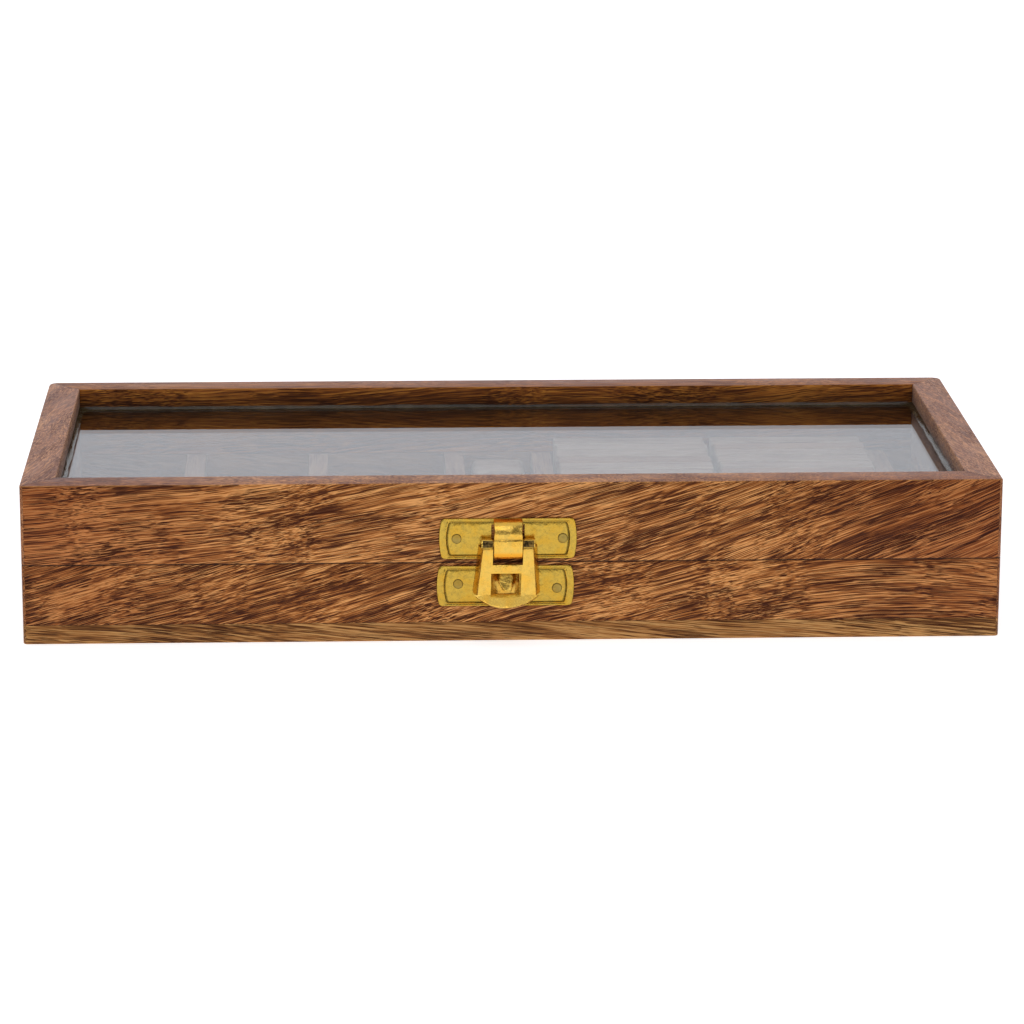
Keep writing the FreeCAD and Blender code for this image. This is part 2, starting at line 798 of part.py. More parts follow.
def catch_plate():
    """The base's hasp plate, with the pressed stud that the lever closes over."""
    body = hasp_plate("hasp_catch_plate", "catch_place", "catch_plate_centre", CATCH_NAILS)
    stud = body.newObject("PartDesign::AdditiveWedge", "Stud")
    turn = FreeCAD.Rotation(FreeCAD.Vector(0, 0, 1), 180.0)
    stud.Placement = FreeCAD.Placement(FreeCAD.Vector(), turn)
    root = "-(plate_rim) + panel_recess + stud_root"
    bind_place(stud, x="stud_place - catch_place", y=root, z="stud_lift")
    for end, sign in (("min", -1), ("max", 1)):
        bind(stud, f"X{end}", f"{sign} * stud_half_width")
        bind(stud, f"Z{end}", f"{sign} * stud_half_height")
        bind(stud, f"X2{end}", f"{sign} * stud_tip_half_width")
        bind(stud, f"Z2{end}", f"-(stud_apex_drop) + {sign} * stud_tip_half_width / 2")
    bind(stud, "Ymin", "0")
    bind(stud, "Ymax", "stud_height + stud_root")


def hasp_nail(x, z):
    """A domed nail seated on the plate's sunk panel. Local +Z points into the wood."""
    seat = "plate_rim - panel_recess"
    dome = "(nail_head_radius^2 + nail_head_height^2) / (2 * nail_head_height)"
    profile = [
        ("0", "-(nail_head_height)"),
        ("nail_head_radius", "0"),
        ("nail_shank_radius", "0"),
        ("nail_shank_radius", "nail_length - nail_point"),
        ("0", "nail_length"),
    ]
    y = f"-(case_depth) / 2 - ({seat})"
    return lathe_turned("hasp_nail", profile, {0: dome}, x, y, z, "Y")


top_plate()
catch_plate()
lever()
group("hasp_top_nails", [hasp_nail(x, z) for x, z in TOP_NAILS])
group("hasp_catch_nails", [hasp_nail(x, z) for x, z in CATCH_NAILS])

# ---- check and write -----------------------------------------------------------------------

document.recompute()
for thing in document.Objects:
    if {"Invalid", "Error"} & set(thing.State):
        raise RuntimeError(f"{thing.Label} ({thing.TypeId}) failed: {thing.State}")
os.makedirs("parts", exist_ok=True)
for thing in EXPORTED:
    shape = thing.Shape
    if shape.isNull() or not shape.isValid():
        raise RuntimeError(f"{thing.Label} has no valid shape")
    print(f"{thing.Label}: {len(shape.Solids)} solid(s), {shape.Volume:.1f} mm3")
for thing in EXPORTED:
    thing.Shape.exportStep(f"parts/{thing.Label}.step")
print(len(EXPORTED), "sub-parts")
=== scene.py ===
import json
import math

import bmesh
import bpy
from mathutils import Matrix, Vector, noise


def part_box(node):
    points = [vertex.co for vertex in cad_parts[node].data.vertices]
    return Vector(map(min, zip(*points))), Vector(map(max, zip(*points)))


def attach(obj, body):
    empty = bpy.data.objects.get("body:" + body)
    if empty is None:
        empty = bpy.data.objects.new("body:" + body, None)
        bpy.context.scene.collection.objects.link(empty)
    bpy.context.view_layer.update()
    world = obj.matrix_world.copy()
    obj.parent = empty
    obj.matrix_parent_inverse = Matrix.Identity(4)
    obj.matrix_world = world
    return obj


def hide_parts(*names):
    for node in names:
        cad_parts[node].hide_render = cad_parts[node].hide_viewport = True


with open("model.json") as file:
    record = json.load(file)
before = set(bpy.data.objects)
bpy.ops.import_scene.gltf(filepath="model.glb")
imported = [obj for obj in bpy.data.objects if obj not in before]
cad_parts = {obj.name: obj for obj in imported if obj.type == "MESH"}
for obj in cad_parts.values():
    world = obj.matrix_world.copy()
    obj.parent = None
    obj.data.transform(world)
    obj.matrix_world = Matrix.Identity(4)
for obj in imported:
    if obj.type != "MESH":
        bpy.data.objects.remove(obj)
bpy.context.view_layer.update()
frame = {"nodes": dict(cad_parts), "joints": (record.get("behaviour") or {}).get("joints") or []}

# A dark hardwood display case with a sunk glass lid and a brass swing hasp.
# Metres, in the frame's own axes: +X along the case, -Y out of the front, +Z up.

MM = 0.001
FULL_TURN = 2 * math.pi
BOARD_LOW, BOARD_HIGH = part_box("bottom_board")
GLASS_LOW, GLASS_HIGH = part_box("glass_pane")
BEAD_LOW, BEAD_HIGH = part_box("glass_sealant_bead")
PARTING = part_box("lid_front_rail")[0].z
CASE_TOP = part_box("lid_front_rail")[1].z
CASE_WIDTH = BOARD_HIGH.x - BOARD_LOW.x
CASE_DEPTH = BOARD_HIGH.y - BOARD_LOW.y
WALL = BOARD_HIGH.x - BEAD_HIGH.x
FRONT_ROUND = 1.4 * MM
BACK_ROUND = 3.2 * MM
FRONT_FACE = BOARD_LOW.y
JOINTS = {joint["name"]: joint for joint in frame["joints"]}
LID_AXIS = Vector(JOINTS["lid_hinge"]["pos_m"])
LEVER_AXIS = Vector(JOINTS["hasp_swing"]["pos_m"])


# ---- material building ---------------------------------------------------------------------


class Graph:
    """The nodes of one material. Inputs are numbers, colours, vectors or other sockets."""

    def __init__(self, name):
        self.material = bpy.data.materials.new(name)
        self.material.use_nodes = True
        self.tree = self.material.node_tree
        self.shader = self.tree.nodes["Principled BSDF"]
        self.output = self.tree.nodes["Material Output"]

    def feed(self, socket, value):
        if isinstance(value, bpy.types.NodeSocket):
            self.tree.links.new(value, socket)
        else:
            socket.default_value = value

    def node(self, kind, inputs=None, **settings):
        made = self.tree.nodes.new(kind)
        for key, value in settings.items():
            setattr(made, key, value)
        for key, value in (inputs or {}).items():
            self.feed(made.inputs[key], value)
        return made

    def principled(self, **inputs):
        for key, value in inputs.items():
            self.feed(self.shader.inputs[key.replace("_", " ")], value)

    def place(self):
        """The piece's own coordinates, in millimetres."""
        own = self.node("ShaderNodeTexCoord").outputs["Object"]
        return self.mapped(own, scale=(1 / MM, 1 / MM, 1 / MM))

    def mapped(self, vector, scale=(1, 1, 1), turn=(0, 0, 0), shift=(0, 0, 0)):
        inputs = {"Vector": vector, "Scale": scale, "Rotation": turn, "Location": shift}
        return self.node("ShaderNodeMapping", inputs).outputs["Vector"]

    def noise(self, vector, scale, detail=2.0, roughness=0.5, out="Fac"):
        inputs = {"Vector": vector, "Scale": scale, "Detail": detail, "Roughness": roughness}
        return self.node("ShaderNodeTexNoise", inputs).outputs[out]

    def sums(self, operation, first, second=0.0, clamp=False):
        made = self.node("ShaderNodeMath", {0: first, 1: second}, operation=operation)
        made.use_clamp = clamp
        return made.outputs[0]

    def vectors(self, operation, first, second):
        inputs = {0: first, 1: second}
        return self.node("ShaderNodeVectorMath", inputs, operation=operation).outputs[0]

    def span(self, value, low, high, to_low=0.0, to_high=1.0):
        """value from low..high to to_low..to_high, smooth and clamped."""
        inputs = {
            "Value": value,
            "From Min": low,
            "From Max": high,
            "To Min": to_low,
            "To Max": to_high,
        }
        made = self.node("ShaderNodeMapRange", inputs, interpolation_type="SMOOTHSTEP")
        return made.outputs["Result"]

    def ramp(self, value, stops):
        made = self.node("ShaderNodeValToRGB", {"Fac": value})
        band = made.color_ramp
        while len(band.elements) < len(stops):
            band.elements.new(0.5)
        for element, (position, colour) in zip(band.elements, stops):
            element.position = position
            element.color = (*colour, 1)
        return made.outputs["Color"]

    def mix(self, share, first, second):
        made = self.node("ShaderNodeMix", data_type="RGBA")
        for key, value in (("Factor", share), ("A", first), ("B", second)):
            kind = "VALUE" if key == "Factor" else "RGBA"
            socket = [s for s in made.inputs if s.name == key and s.type == kind][0]
            if isinstance(value, tuple):
                value = (*value, 1)
            self.feed(socket, value)
        return [s for s in made.outputs if s.type == "RGBA"][0]

    def bump(self, height, depth, strength=1.0, under=None):
        inputs = {"Height": height, "Distance": depth, "Strength": strength}
        if under is not None:
            inputs["Normal"] = under
        return self.node("ShaderNodeBump", inputs).outputs["Normal"]

    def attribute(self, name):
        return self.node("ShaderNodeAttribute", attribute_name=name).outputs["Fac"]


def laid_fibre(g, along, rise, shift, sway, dive):
    """Coordinates that run with the fibre, as (distance along the piece, place in the tree,
    place in the tree with the fibre's own sway)."""
    quarter = -math.pi / 2 if along == "Y" else 0.0
    laid = g.mapped(g.place(), turn=(0, 0, quarter))
    parts = g.node("ShaderNodeSeparateXYZ", {0: laid}).outputs
    slope, turn_rate, twist_rate = rise
    climb = g.sums("ADD", g.sums("MULTIPLY", parts["X"], twist_rate / 3), turn_rate / 2)
    climb = g.sums("ADD", g.sums("MULTIPLY", parts["X"], climb), slope)
    climb = g.sums("MULTIPLY", parts["X"], climb)
    level = g.sums("SUBTRACT", parts["Z"], climb)
    depth = g.sums("ADD", parts["Y"], g.sums("MULTIPLY", parts["X"], dive))
    bent = g.node("ShaderNodeCombineXYZ", {"X": parts["X"], "Y": depth, "Z": level}).outputs[0]
    board = g.mapped(bent, shift=shift)

    wide = g.noise(board, 0.012, detail=1.0, out="Color")
    wide = g.vectors("SUBTRACT", wide, (0.5, 0.5, 0.5))
    wide = g.vectors("MULTIPLY", wide, (0, 9 * sway, 9 * sway))
    curl = g.noise(g.mapped(board, scale=(0.5, 1, 1)), 0.085, detail=2.0, out="Color")
    curl = g.vectors("SUBTRACT", curl, (0.5, 0.5, 0.5))
    curl = g.vectors("MULTIPLY", curl, (0, 1.2 * sway, 1.2 * sway))
    return parts["X"], board, g.vectors("ADD", g.vectors("ADD", board, wide), curl)


def wood(
    name, tones, along="X", rise=(0, 0, 0), shift=(0, 0, 0), pores=0.5, sway=1.0, dive=0.0, ends=0.0
):
    """Open-pored hardwood. tones are (dark, middle, light) and along is the fibre's axis.
    rise gives the fibre's slope at the middle of the piece and how that slope changes per
    millimetre and per square millimetre; shift picks another part of the same tree; sway and
    dive bend the fibre sideways and into the face; ends is how much darker heartwood there is
    toward both ends of a rail."""
    g = Graph(name)
    distance, board, fibre = laid_fibre(g, along, rise, shift, sway, dive)

    def grain(length, width, detail=2.0, roughness=0.55):
        """Noise drawn out along the fibre into streaks of this length and width."""
        stretched = g.mapped(fibre, scale=(1 / length, 1 / width, 1 / width))
        return g.noise(stretched, 1.0, detail=detail, roughness=roughness)

    band = grain(160.0, 9.0)
    figure = grain(36.0, 1.25, detail=3.0)
    streak = grain(25.0, 0.38)
    thread = grain(12.0, 0.21)
    cloud = g.noise(g.mapped(board, scale=(0.03, 0.05, 0.05)), 1.0, detail=3.0)
    tone = g.sums("MULTIPLY", band, 0.13)
    for layer, weight in ((figure, 0.20), (streak, 0.29), (thread, 0.27), (cloud, 0.11)):
        tone = g.sums("ADD", tone, g.sums("MULTIPLY", layer, weight))
    dark, middle, light = tones
    colour = g.ramp(tone, [(0.438, dark), (0.495, middle), (0.552, light)])

    crowd = g.noise(g.mapped(fibre, scale=(0.03, 0.16, 0.16)), 1.0, detail=2.0)
    crowd = g.sums("MULTIPLY", g.sums("SUBTRACT", crowd, 0.5), 0.35)
    fine_pores = g.sums("ADD", grain(12.0, 0.20, detail=1.0), crowd)
    long_pores = g.sums("ADD", grain(36.0, 0.28, detail=1.0), crowd)
    start = 0.65 - 0.13 * pores
    fine_share = g.sums("MULTIPLY", g.span(fine_pores, start, start + 0.06), 0.95)
    long_share = g.sums("MULTIPLY", g.span(long_pores, start, start + 0.08), 0.95)
    share = g.sums("MAXIMUM", fine_share, long_share)
    pore_colour = tuple(channel * depth for channel, depth in zip(dark, (0.55, 0.42, 0.35)))
    colour = g.mix(share, colour, pore_colour)
    heart = g.span(g.sums("ABSOLUTE", distance), 55.0, 150.0, 0.0, ends)
    colour = g.mix(heart, colour, g.vectors("MULTIPLY", colour, (0.62, 0.46, 0.40)))

    # Upward faces are mixed toward a pale pink: dust, and painted sheen for the glint on the tops
    # seen at a grazing angle.
    upward = g.node("ShaderNodeSeparateXYZ", {0: g.node("ShaderNodeTexCoord").outputs["Normal"]})
    dust_and_sheen = g.span(upward.outputs["Z"], 0.8, 1.0, 0.0, 0.18)
    colour = g.mix(dust_and_sheen, colour, (0.80, 0.44, 0.34))
    worn = g.sums("MULTIPLY", g.attribute("edge"), g.span(figure, 0.4, 0.6, 0.05, 0.35))
    colour = g.mix(worn, colour, light)
    # Painted shade: the parting seam and the glass groove are darkened as if in shade, and a dark
    # line runs along the mitre joints.
    crease_shaded = g.sums("MULTIPLY", g.attribute("painted_crease_shade"), g.span(streak, 0.3, 0.6, 0.95, 0.7))
    colour = g.mix(crease_shaded, colour, tuple(channel * 0.2 for channel in dark))

    relief = g.sums("SUBTRACT", g.sums("MULTIPLY", streak, 0.35), share)
    normal = g.bump(relief, 0.13 * MM, 0.7)
    gloss = g.span(figure, 0.35, 0.65, 0.42, 0.54)
    gloss = g.sums("ADD", gloss, g.sums("MULTIPLY", share, 0.3), clamp=True)
    g.principled(Base_Color=colour, Roughness=gloss, Normal=normal)
    g.shader.inputs["Specular IOR Level"].default_value = 0.13
    g.shader.inputs["Sheen Weight"].default_value = 0.14
    g.shader.inputs["Sheen Roughness"].default_value = 0.45
    g.shader.inputs["Sheen Tint"].default_value = (1.0, 0.86, 0.84, 1)
    return g.material


def brass(name, colour, shade, rough, mottle=0.5, shade_patch_share=0.0):
    """Pressed brass with a soft mottle, shallow dents, fine rolling lines and tarnish; painted shade
    in creases and patches, and a painted warm reflection.
    """
    g = Graph(name)
    place = g.place()
    cloud = g.noise(place, 0.20, detail=3.0, roughness=0.6)
    stain = g.noise(place, 0.75, detail=4.0, roughness=0.7)
    lines = g.noise(g.mapped(place, scale=(0.5, 6.0, 6.0)), 1.0, detail=3.0, roughness=0.7)
    grit = g.noise(place, 6.0, detail=2.0, roughness=0.6)
    base = g.mix(g.span(stain, 0.40, 0.70, 0.0, mottle), colour, shade)
    warm = tuple(min(1.0, part * more) for part, more in zip(colour, (1.06, 0.93, 0.62)))
    base = g.mix(g.span(cloud, 0.42, 0.66, 0.0, 0.75), base, warm)
    tarnish = g.sums("MULTIPLY", g.span(grit, 0.60, 0.78), 0.4)
    base = g.mix(tarnish, base, tuple(part * 0.3 for part in shade))
    # A dark mottled patch of painted shade, as strong as the share given.
    shade_patch = g.sums("MULTIPLY", g.span(stain, 0.34, 0.58), shade_patch_share)
    base = g.mix(shade_patch, base, tuple(part * 0.12 for part in shade))
    # Painted reflection: a warm orange where a piece marks it, on the strap's top and its curl.
    base = g.mix(g.sums("MULTIPLY", g.attribute("warm"), 0.8), base, (0.80, 0.34, 0.02))
    # Painted shade: darkens the creases a piece marks, such as the plate's groove and edge and the
    # nail heads' rims.
    hollow_shade = g.sums("MULTIPLY", g.attribute("painted_crease_shade"), g.span(grit, 0.35, 0.6, 0.55, 0.95))
    base = g.mix(hollow_shade, base, tuple(part * 0.14 for part in shade))
    gloss = g.span(stain, 0.3, 0.75, rough, rough + 0.14)
    swell = g.bump(cloud, 0.5 * MM, 0.6)
    normal = g.bump(g.sums("ADD", lines, grit), 0.02 * MM, 0.55, under=swell)
    g.principled(Base_Color=base, Roughness=gloss, Normal=normal)
    g.shader.inputs["Metallic"].default_value = 1.0
    return g.material


def see_through(g, shader_socket, tint):
    """Let light reach what is behind a clear piece, tinted a little."""
    clear = g.node("ShaderNodeBsdfTransparent", {"Color": (*tint, 1)})
    ray = g.node("ShaderNodeLightPath")
    share = g.node("ShaderNodeMixShader", {0: ray.outputs["Is Shadow Ray"], 1: shader_socket})
    g.tree.links.new(clear.outputs[0], share.inputs[2])
    g.tree.links.new(share.outputs[0], g.output.inputs["Surface"])


def clear_glass(name):
    """Float glass with a few wiping smears."""
    g = Graph(name)
    place = g.place()
    smear = g.noise(g.mapped(place, scale=(0.02, 0.09, 1)), 1.0, detail=4.0, roughness=0.7)
    gloss = g.span(smear, 0.55, 0.8, 0.0, 0.035)
    g.principled(Roughness=gloss)
    g.shader.inputs["Base Color"].default_value = (0.80, 0.83, 0.85, 1)
    g.shader.inputs["Transmission Weight"].default_value = 1.0
    g.shader.inputs["IOR"].default_value = 1.52
    see_through(g, g.shader.outputs[0], (0.93, 0.95, 0.94))
    return g.material


def set_sealant(name):
    """A nearly clear bead of glue, a little green and brown, with trapped dust."""
    g = Graph(name)
    place = g.place()
    cloud = g.noise(place, 0.18, detail=3.0, roughness=0.6)
    dust_and_sheen = g.noise(place, 2.6, detail=2.0)
    colour = g.ramp(cloud, [(0.35, (0.28, 0.19, 0.09)), (0.65, (0.48, 0.38, 0.22))])
    colour = g.mix(g.span(dust_and_sheen, 0.62, 0.74, 0.0, 0.5), colour, (0.16, 0.11, 0.06))
    normal = g.bump(cloud, 0.4 * MM, 0.4)
    gloss = g.span(cloud, 0.3, 0.7, 0.10, 0.26)
    g.principled(Base_Color=colour, Roughness=gloss, Normal=normal)
    g.shader.inputs["Transmission Weight"].default_value = 0.92
    g.shader.inputs["IOR"].default_value = 1.42
    see_through(g, g.shader.outputs[0], (0.70, 0.64, 0.52))
    return g.material


def studio_floor(name):
    """A pale matt table top, lit a little from below like a light table."""
    g = Graph(name)
    cloud = g.noise(g.place(), 0.004, detail=1.0)
    pale = g.ramp(cloud, [(0.3, (0.89, 0.89, 0.89)), (0.7, (0.90, 0.90, 0.90))])
    g.principled(Base_Color=pale, Emission_Color=pale)
    g.shader.inputs["Emission Strength"].default_value = 0.62
    g.shader.inputs["Roughness"].default_value = 0.9
    g.shader.inputs["Specular IOR Level"].default_value = 0.0
    return g.material


# ---- mesh building -------------------------------------------------------------------------


def new_piece(name, builder, material, body, replaced=(), sharp=35.0):
    """Finish a bmesh as a piece: smooth but for its sharp edges, painted and riding on a body."""
    bmesh.ops.recalc_face_normals(builder, faces=builder.faces)
    mesh = bpy.data.meshes.new(name)
    builder.to_mesh(mesh)
    builder.free()
    piece = bpy.data.objects.new(name, mesh)
    bpy.context.scene.collection.objects.link(piece)
    mesh.polygons.foreach_set("use_smooth", [True] * len(mesh.polygons))
    mesh.set_sharp_from_angle(angle=math.radians(sharp))
    mesh.materials.append(material)
    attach(piece, body)
    if replaced:
        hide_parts(*replaced)
    return piece


def arc(centre, radius, start, end, steps):
    """Points of a circular arc, both ends included. Angles are in degrees."""
    points = []
    for step in range(steps + 1):
        angle = math.radians(start + (end - start) * step / steps)
        points.append((centre[0] + radius * math.cos(angle), centre[1] + radius * math.sin(angle)))
    return points


def bridge_rings(builder, rings, capped=False):
    """Quads between successive closed rings of vertices."""
    for first, second in zip(rings, rings[1:]):
        for number in range(len(first)):
            after = (number + 1) % len(first)
            builder.faces.new((first[number], first[after], second[after], second[number]))
    if capped:
        builder.faces.new(rings[0])
        builder.faces.new(rings[-1])


def soften(builder, width, steps=3, least_angle=35.0):
    """Round every edge that is sharper than least_angle."""
    edges = [
        edge
        for edge in builder.edges
        if len(edge.link_faces) == 2 and edge.calc_face_angle(0.0) > math.radians(least_angle)
    ]
    bmesh.ops.bevel(
        builder,
        geom=edges,
        offset=width,
        offset_type="OFFSET",
        segments=steps,
        profile=0.5,
        affect="EDGES",
        clamp_overlap=True,
    )


def block(low, high):
    """A bmesh box between two corners."""
    builder = bmesh.new()
    size = Vector(high) - Vector(low)
    middle = (Vector(high) + Vector(low)) / 2
    bmesh.ops.create_cube(builder, size=1.0)
    bmesh.ops.scale(builder, vec=size, verts=builder.verts)
    bmesh.ops.translate(builder, vec=middle, verts=builder.verts)
    return builder


def drum(centre, radius, half_length, steps=48):
    """A bmesh cylinder along X."""
    builder = bmesh.new()
    turn = Matrix.Rotation(math.pi / 2, 4, "Y")
    bmesh.ops.create_cone(
        builder,
        cap_ends=True,
        segments=steps,
        radius1=radius,
        radius2=radius,
        depth=2 * half_length,
        matrix=Matrix.Translation(centre) @ turn,
    )
    return builder


def carve(piece, cutters):
    """Cut each bmesh solid out of a piece."""
    for cutter in cutters:
        mesh = bpy.data.meshes.new("cutter")
        cutter.to_mesh(mesh)
        cutter.free()
        tool = bpy.data.objects.new("cutter", mesh)
        bpy.context.scene.collection.objects.link(tool)
        cut = piece.modifiers.new("cut", "BOOLEAN")
        cut.operation = "DIFFERENCE"
        cut.solver = "EXACT"
        cut.object = tool
        bpy.context.view_layer.update()
        evaluated = piece.evaluated_get(bpy.context.evaluated_depsgraph_get())
        carved = bpy.data.meshes.new_from_object(evaluated)
        piece.modifiers.clear()
        piece.data = carved
        bpy.data.objects.remove(tool)


# ---- wooden frame --------------------------------------------------------------------------

TOP_ROUND = 0.35 * MM
SEAM_ROUND = 0.28 * MM
BOARD_SEAM_ROUND = 0.08 * MM
INNER_ROUND = 0.3 * MM
MITRE_EASE = 0.05 * MM
# The third state marks the parting seam and the glass groove, which the wood material darkens as
# painted shade.
WORN, CLEAN, CREASE_SHADED = "worn", "clean", "crease_shaded"


def rail_section(height, top, low, groove=None):
    """A rail's section, going once round from its outer low corner, as points of (depth from
    the outer face, height, state). top and low give the roundness and state of the edges."""
    points = []

    def corner(centre, edge, start, end):
        radius, state = edge
        rounded = arc(centre, radius, start, end, 4)
        for number, (depth, level) in enumerate(rounded):
            touched = 0 < number < len(rounded) - 1
            points.append((depth, level, state if touched else CLEAN))

    low_radius, top_radius = low[0], top[0]
    corner((low_radius, low_radius), low, 270, 180)
    corner((top_radius, height - top_radius), top, 180, 90)
    corner((WALL - INNER_ROUND, height - INNER_ROUND), (INNER_ROUND, WORN), 90, 0)
    if groove:
        floor_level, ceiling_level, depth = groove
        points.append((WALL, ceiling_level, CREASE_SHADED))
        points.append((WALL - depth, ceiling_level, CREASE_SHADED))
        points.append((WALL - depth, floor_level, CREASE_SHADED))
        points.append((WALL, floor_level, CREASE_SHADED))
    corner((WALL - low_radius, low_radius), low, 0, -90)
    return points


def corner_pull(distance, radius):
    """How far a rounded case corner draws the outer face in, near a rail's end."""
    if distance >= radius:
        return 0.0
    return radius - math.sqrt(radius**2 - (radius - distance) ** 2)


def mitre_distance(depth, radius):
    """Where the mitre meets the line that runs at this depth below the outer face."""
    distance = depth
    for _ in range(40):
        distance = depth + (WALL - depth) / WALL * corner_pull(distance, radius)
    return distance


def end_stations(half_length):
    """Places along a rail: (distance from the nearer mitre, share of the plain middle)."""
    near = [distance * MM for distance in (0.0, 0.15, 0.35, 0.65, 1.1, 1.7, 2.5, 3.6, 5.0)]
    steps = int(2 * half_length / (5 * MM))
    stations = [(distance, 0.0) for distance in near]
    stations += [(near[-1], step / steps) for step in range(1, steps)]
    return stations + [(distance, 1.0) for distance in reversed(near)]


def mitred_rail(node, material, outward, half_length, quarter_turns, base, section, radii):
    """A rail with mitred ends, its edges sanded by hand. radii are its two corners' rounds."""
    builder = bmesh.new()
    worn_layer = builder.verts.layers.float.new("edge")
    crease_shade_layer = builder.verts.layers.float.new("painted_crease_shade")
    turn = Matrix.Rotation(quarter_turns * math.pi / 2, 3, "Z")
    stations = end_stations(half_length)
    seed = Vector((7.3 * quarter_turns, 31.7 * base / PARTING, 0))
    rings = []
    for number, (distance, share) in enumerate(stations):
        at_mitre = number in (0, len(stations) - 1)
        radius = radii[0] if share < 0.5 else radii[1]
        ring = []
        for depth, height, state in section:
            margins = [mitre_distance(depth, end_radius) + distance for end_radius in radii]
            if at_mitre:
                margins = [margin + MITRE_EASE for margin in margins]
            x = (1 - share) * (margins[0] - half_length) + share * (half_length - margins[1])
            pull = corner_pull(half_length - abs(x), radius)
            inset = depth + (WALL - depth) / WALL * pull
            if at_mitre:
                inset += math.copysign(MITRE_EASE, WALL / 2 - inset)
            if state == WORN:
                where = Vector((x / (11 * MM), depth / MM, height / MM)) + seed
                wear = 0.05 * MM * (1 + noise.noise(where))
                inset += wear if depth < WALL / 2 else -wear
            vertex = builder.verts.new(turn @ Vector((x, inset - outward, base + height)))
            # Seam and groove points get painted shade; the rings at both mitres get a dark joint
            # line.
            vertex[worn_layer] = 1.0 if state == WORN else 0.0
            vertex[crease_shade_layer] = 1.0 if state == CREASE_SHADED or at_mitre else 0.0
            ring.append(vertex)
        rings.append(ring)
    bridge_rings(builder, rings, capped=True)
    body = node.split("_")[0]
    return new_piece(f"{node}_shaped", builder, material, body, (node,), sharp=40)


def wooden_frame(materials):
    """The eight mitred rails, four of the lid and four of the base."""
    play = 0.05 * MM
    groove = (
        GLASS_LOW.z - PARTING - play,
        GLASS_HIGH.z - PARTING + play,
        GLASS_HIGH.x - BEAD_HIGH.x + 4 * play,
    )
    seam = (SEAM_ROUND, CREASE_SHADED)
    lid_section = rail_section(CASE_TOP - PARTING, (TOP_ROUND, WORN), seam, groove)
    base_section = rail_section(PARTING - BOARD_HIGH.z, seam, (BOARD_SEAM_ROUND, CREASE_SHADED))
    sides = {
        "front": (CASE_DEPTH / 2, CASE_WIDTH / 2, 0, (FRONT_ROUND, FRONT_ROUND)),
        "right": (CASE_WIDTH / 2, CASE_DEPTH / 2, 1, (FRONT_ROUND, BACK_ROUND)),
        "back": (CASE_DEPTH / 2, CASE_WIDTH / 2, 2, (BACK_ROUND, BACK_ROUND)),
        "left": (CASE_WIDTH / 2, CASE_DEPTH / 2, 3, (BACK_ROUND, FRONT_ROUND)),
    }
    rails = {}
    for side, (outward, half_length, turns, radii) in sides.items():
        for body, base, section in (
            ("lid", PARTING, lid_section),
            ("base", BOARD_HIGH.z, base_section),
        ):
            node = f"{body}_{side}_rail"
            rails[node] = mitred_rail(
                node, materials[f"{body}_{side}"], outward, half_length, turns, base, section, radii
            )
    return rails


def hinge_recesses(body):
    """Solids to cut from a back rail so that its hinge leaves and barrels are let in."""
    cutters = []
    play = 0.1 * MM
    for side in ("left", "right"):
        low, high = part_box(f"hinge_{side}_{body}_leaf")
        barrel_radius = high.y - LID_AXIS.y
        depth = 1.0 * MM
        z_low, z_high = (PARTING - depth, PARTING + depth)
        cutters.append(
            block((low.x - play, low.y - play, z_low), (high.x + play, LID_AXIS.y, z_high))
        )
        centre = Vector(((low.x + high.x) / 2, LID_AXIS.y, LID_AXIS.z))
        half_length = (high.x - low.x) / 2 + 3 * play
        cutters.append(drum(centre, barrel_radius + 3 * play, half_length))
    return cutters


def partition_slots():
    """Solids to cut from the base rails where the partition ends are housed."""
    play = 0.1 * MM
    cutters = []
    for number in range(1, 6):
        low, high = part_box(f"partition_{number}")
        grow = Vector((play, play, play))
        cutters.append(block(low - grow, high + grow))
    return cutters


def bottom_board(material):
    """The full-size board under the rails, its lower edge eased and its upper edge broken."""
    builder = bmesh.new()
    worn_layer = builder.verts.layers.float.new("edge")
    crease_shade_layer = builder.verts.layers.float.new("painted_crease_shade")
    ease = 0.4 * MM
    levels = [
        (ease * (1 - math.cos(angle)), ease * (1 - math.sin(angle)), WORN)
        for angle in (0.0, 0.4, 0.8, 1.2)
    ]
    levels.append((ease, 0.0, CLEAN))
    levels.append((BOARD_HIGH.z - 2 * BOARD_SEAM_ROUND, 0.0, CLEAN))
    # The top edge, under the rails' seam, gets painted shade.
    levels.append((BOARD_HIGH.z, BOARD_SEAM_ROUND, CREASE_SHADED))
    rings = []
    for level, inset, state in levels:
        ring = []
        for sign_x, sign_y, start in ((1, 1, 0), (-1, 1, 90), (-1, -1, 180), (1, -1, 270)):
            radius = BACK_ROUND if sign_y > 0 else FRONT_ROUND
            centre = (
                sign_x * (CASE_WIDTH / 2 - radius),
                sign_y * (CASE_DEPTH / 2 - radius),
            )
            for x, y in arc(centre, radius - inset, start, start + 90, 8):
                vertex = builder.verts.new((x, y, level))
                vertex[worn_layer] = 1.0 if state == WORN else 0.0
                vertex[crease_shade_layer] = 1.0 if state == CREASE_SHADED else 0.0
                ring.append(vertex)
        rings.append(ring)
    bridge_rings(builder, rings, capped=True)
    name = "bottom_board_shaped"
    return new_piece(name, builder, material, "base", ("bottom_board",), sharp=50)


# ---- glazing -------------------------------------------------------------------------------


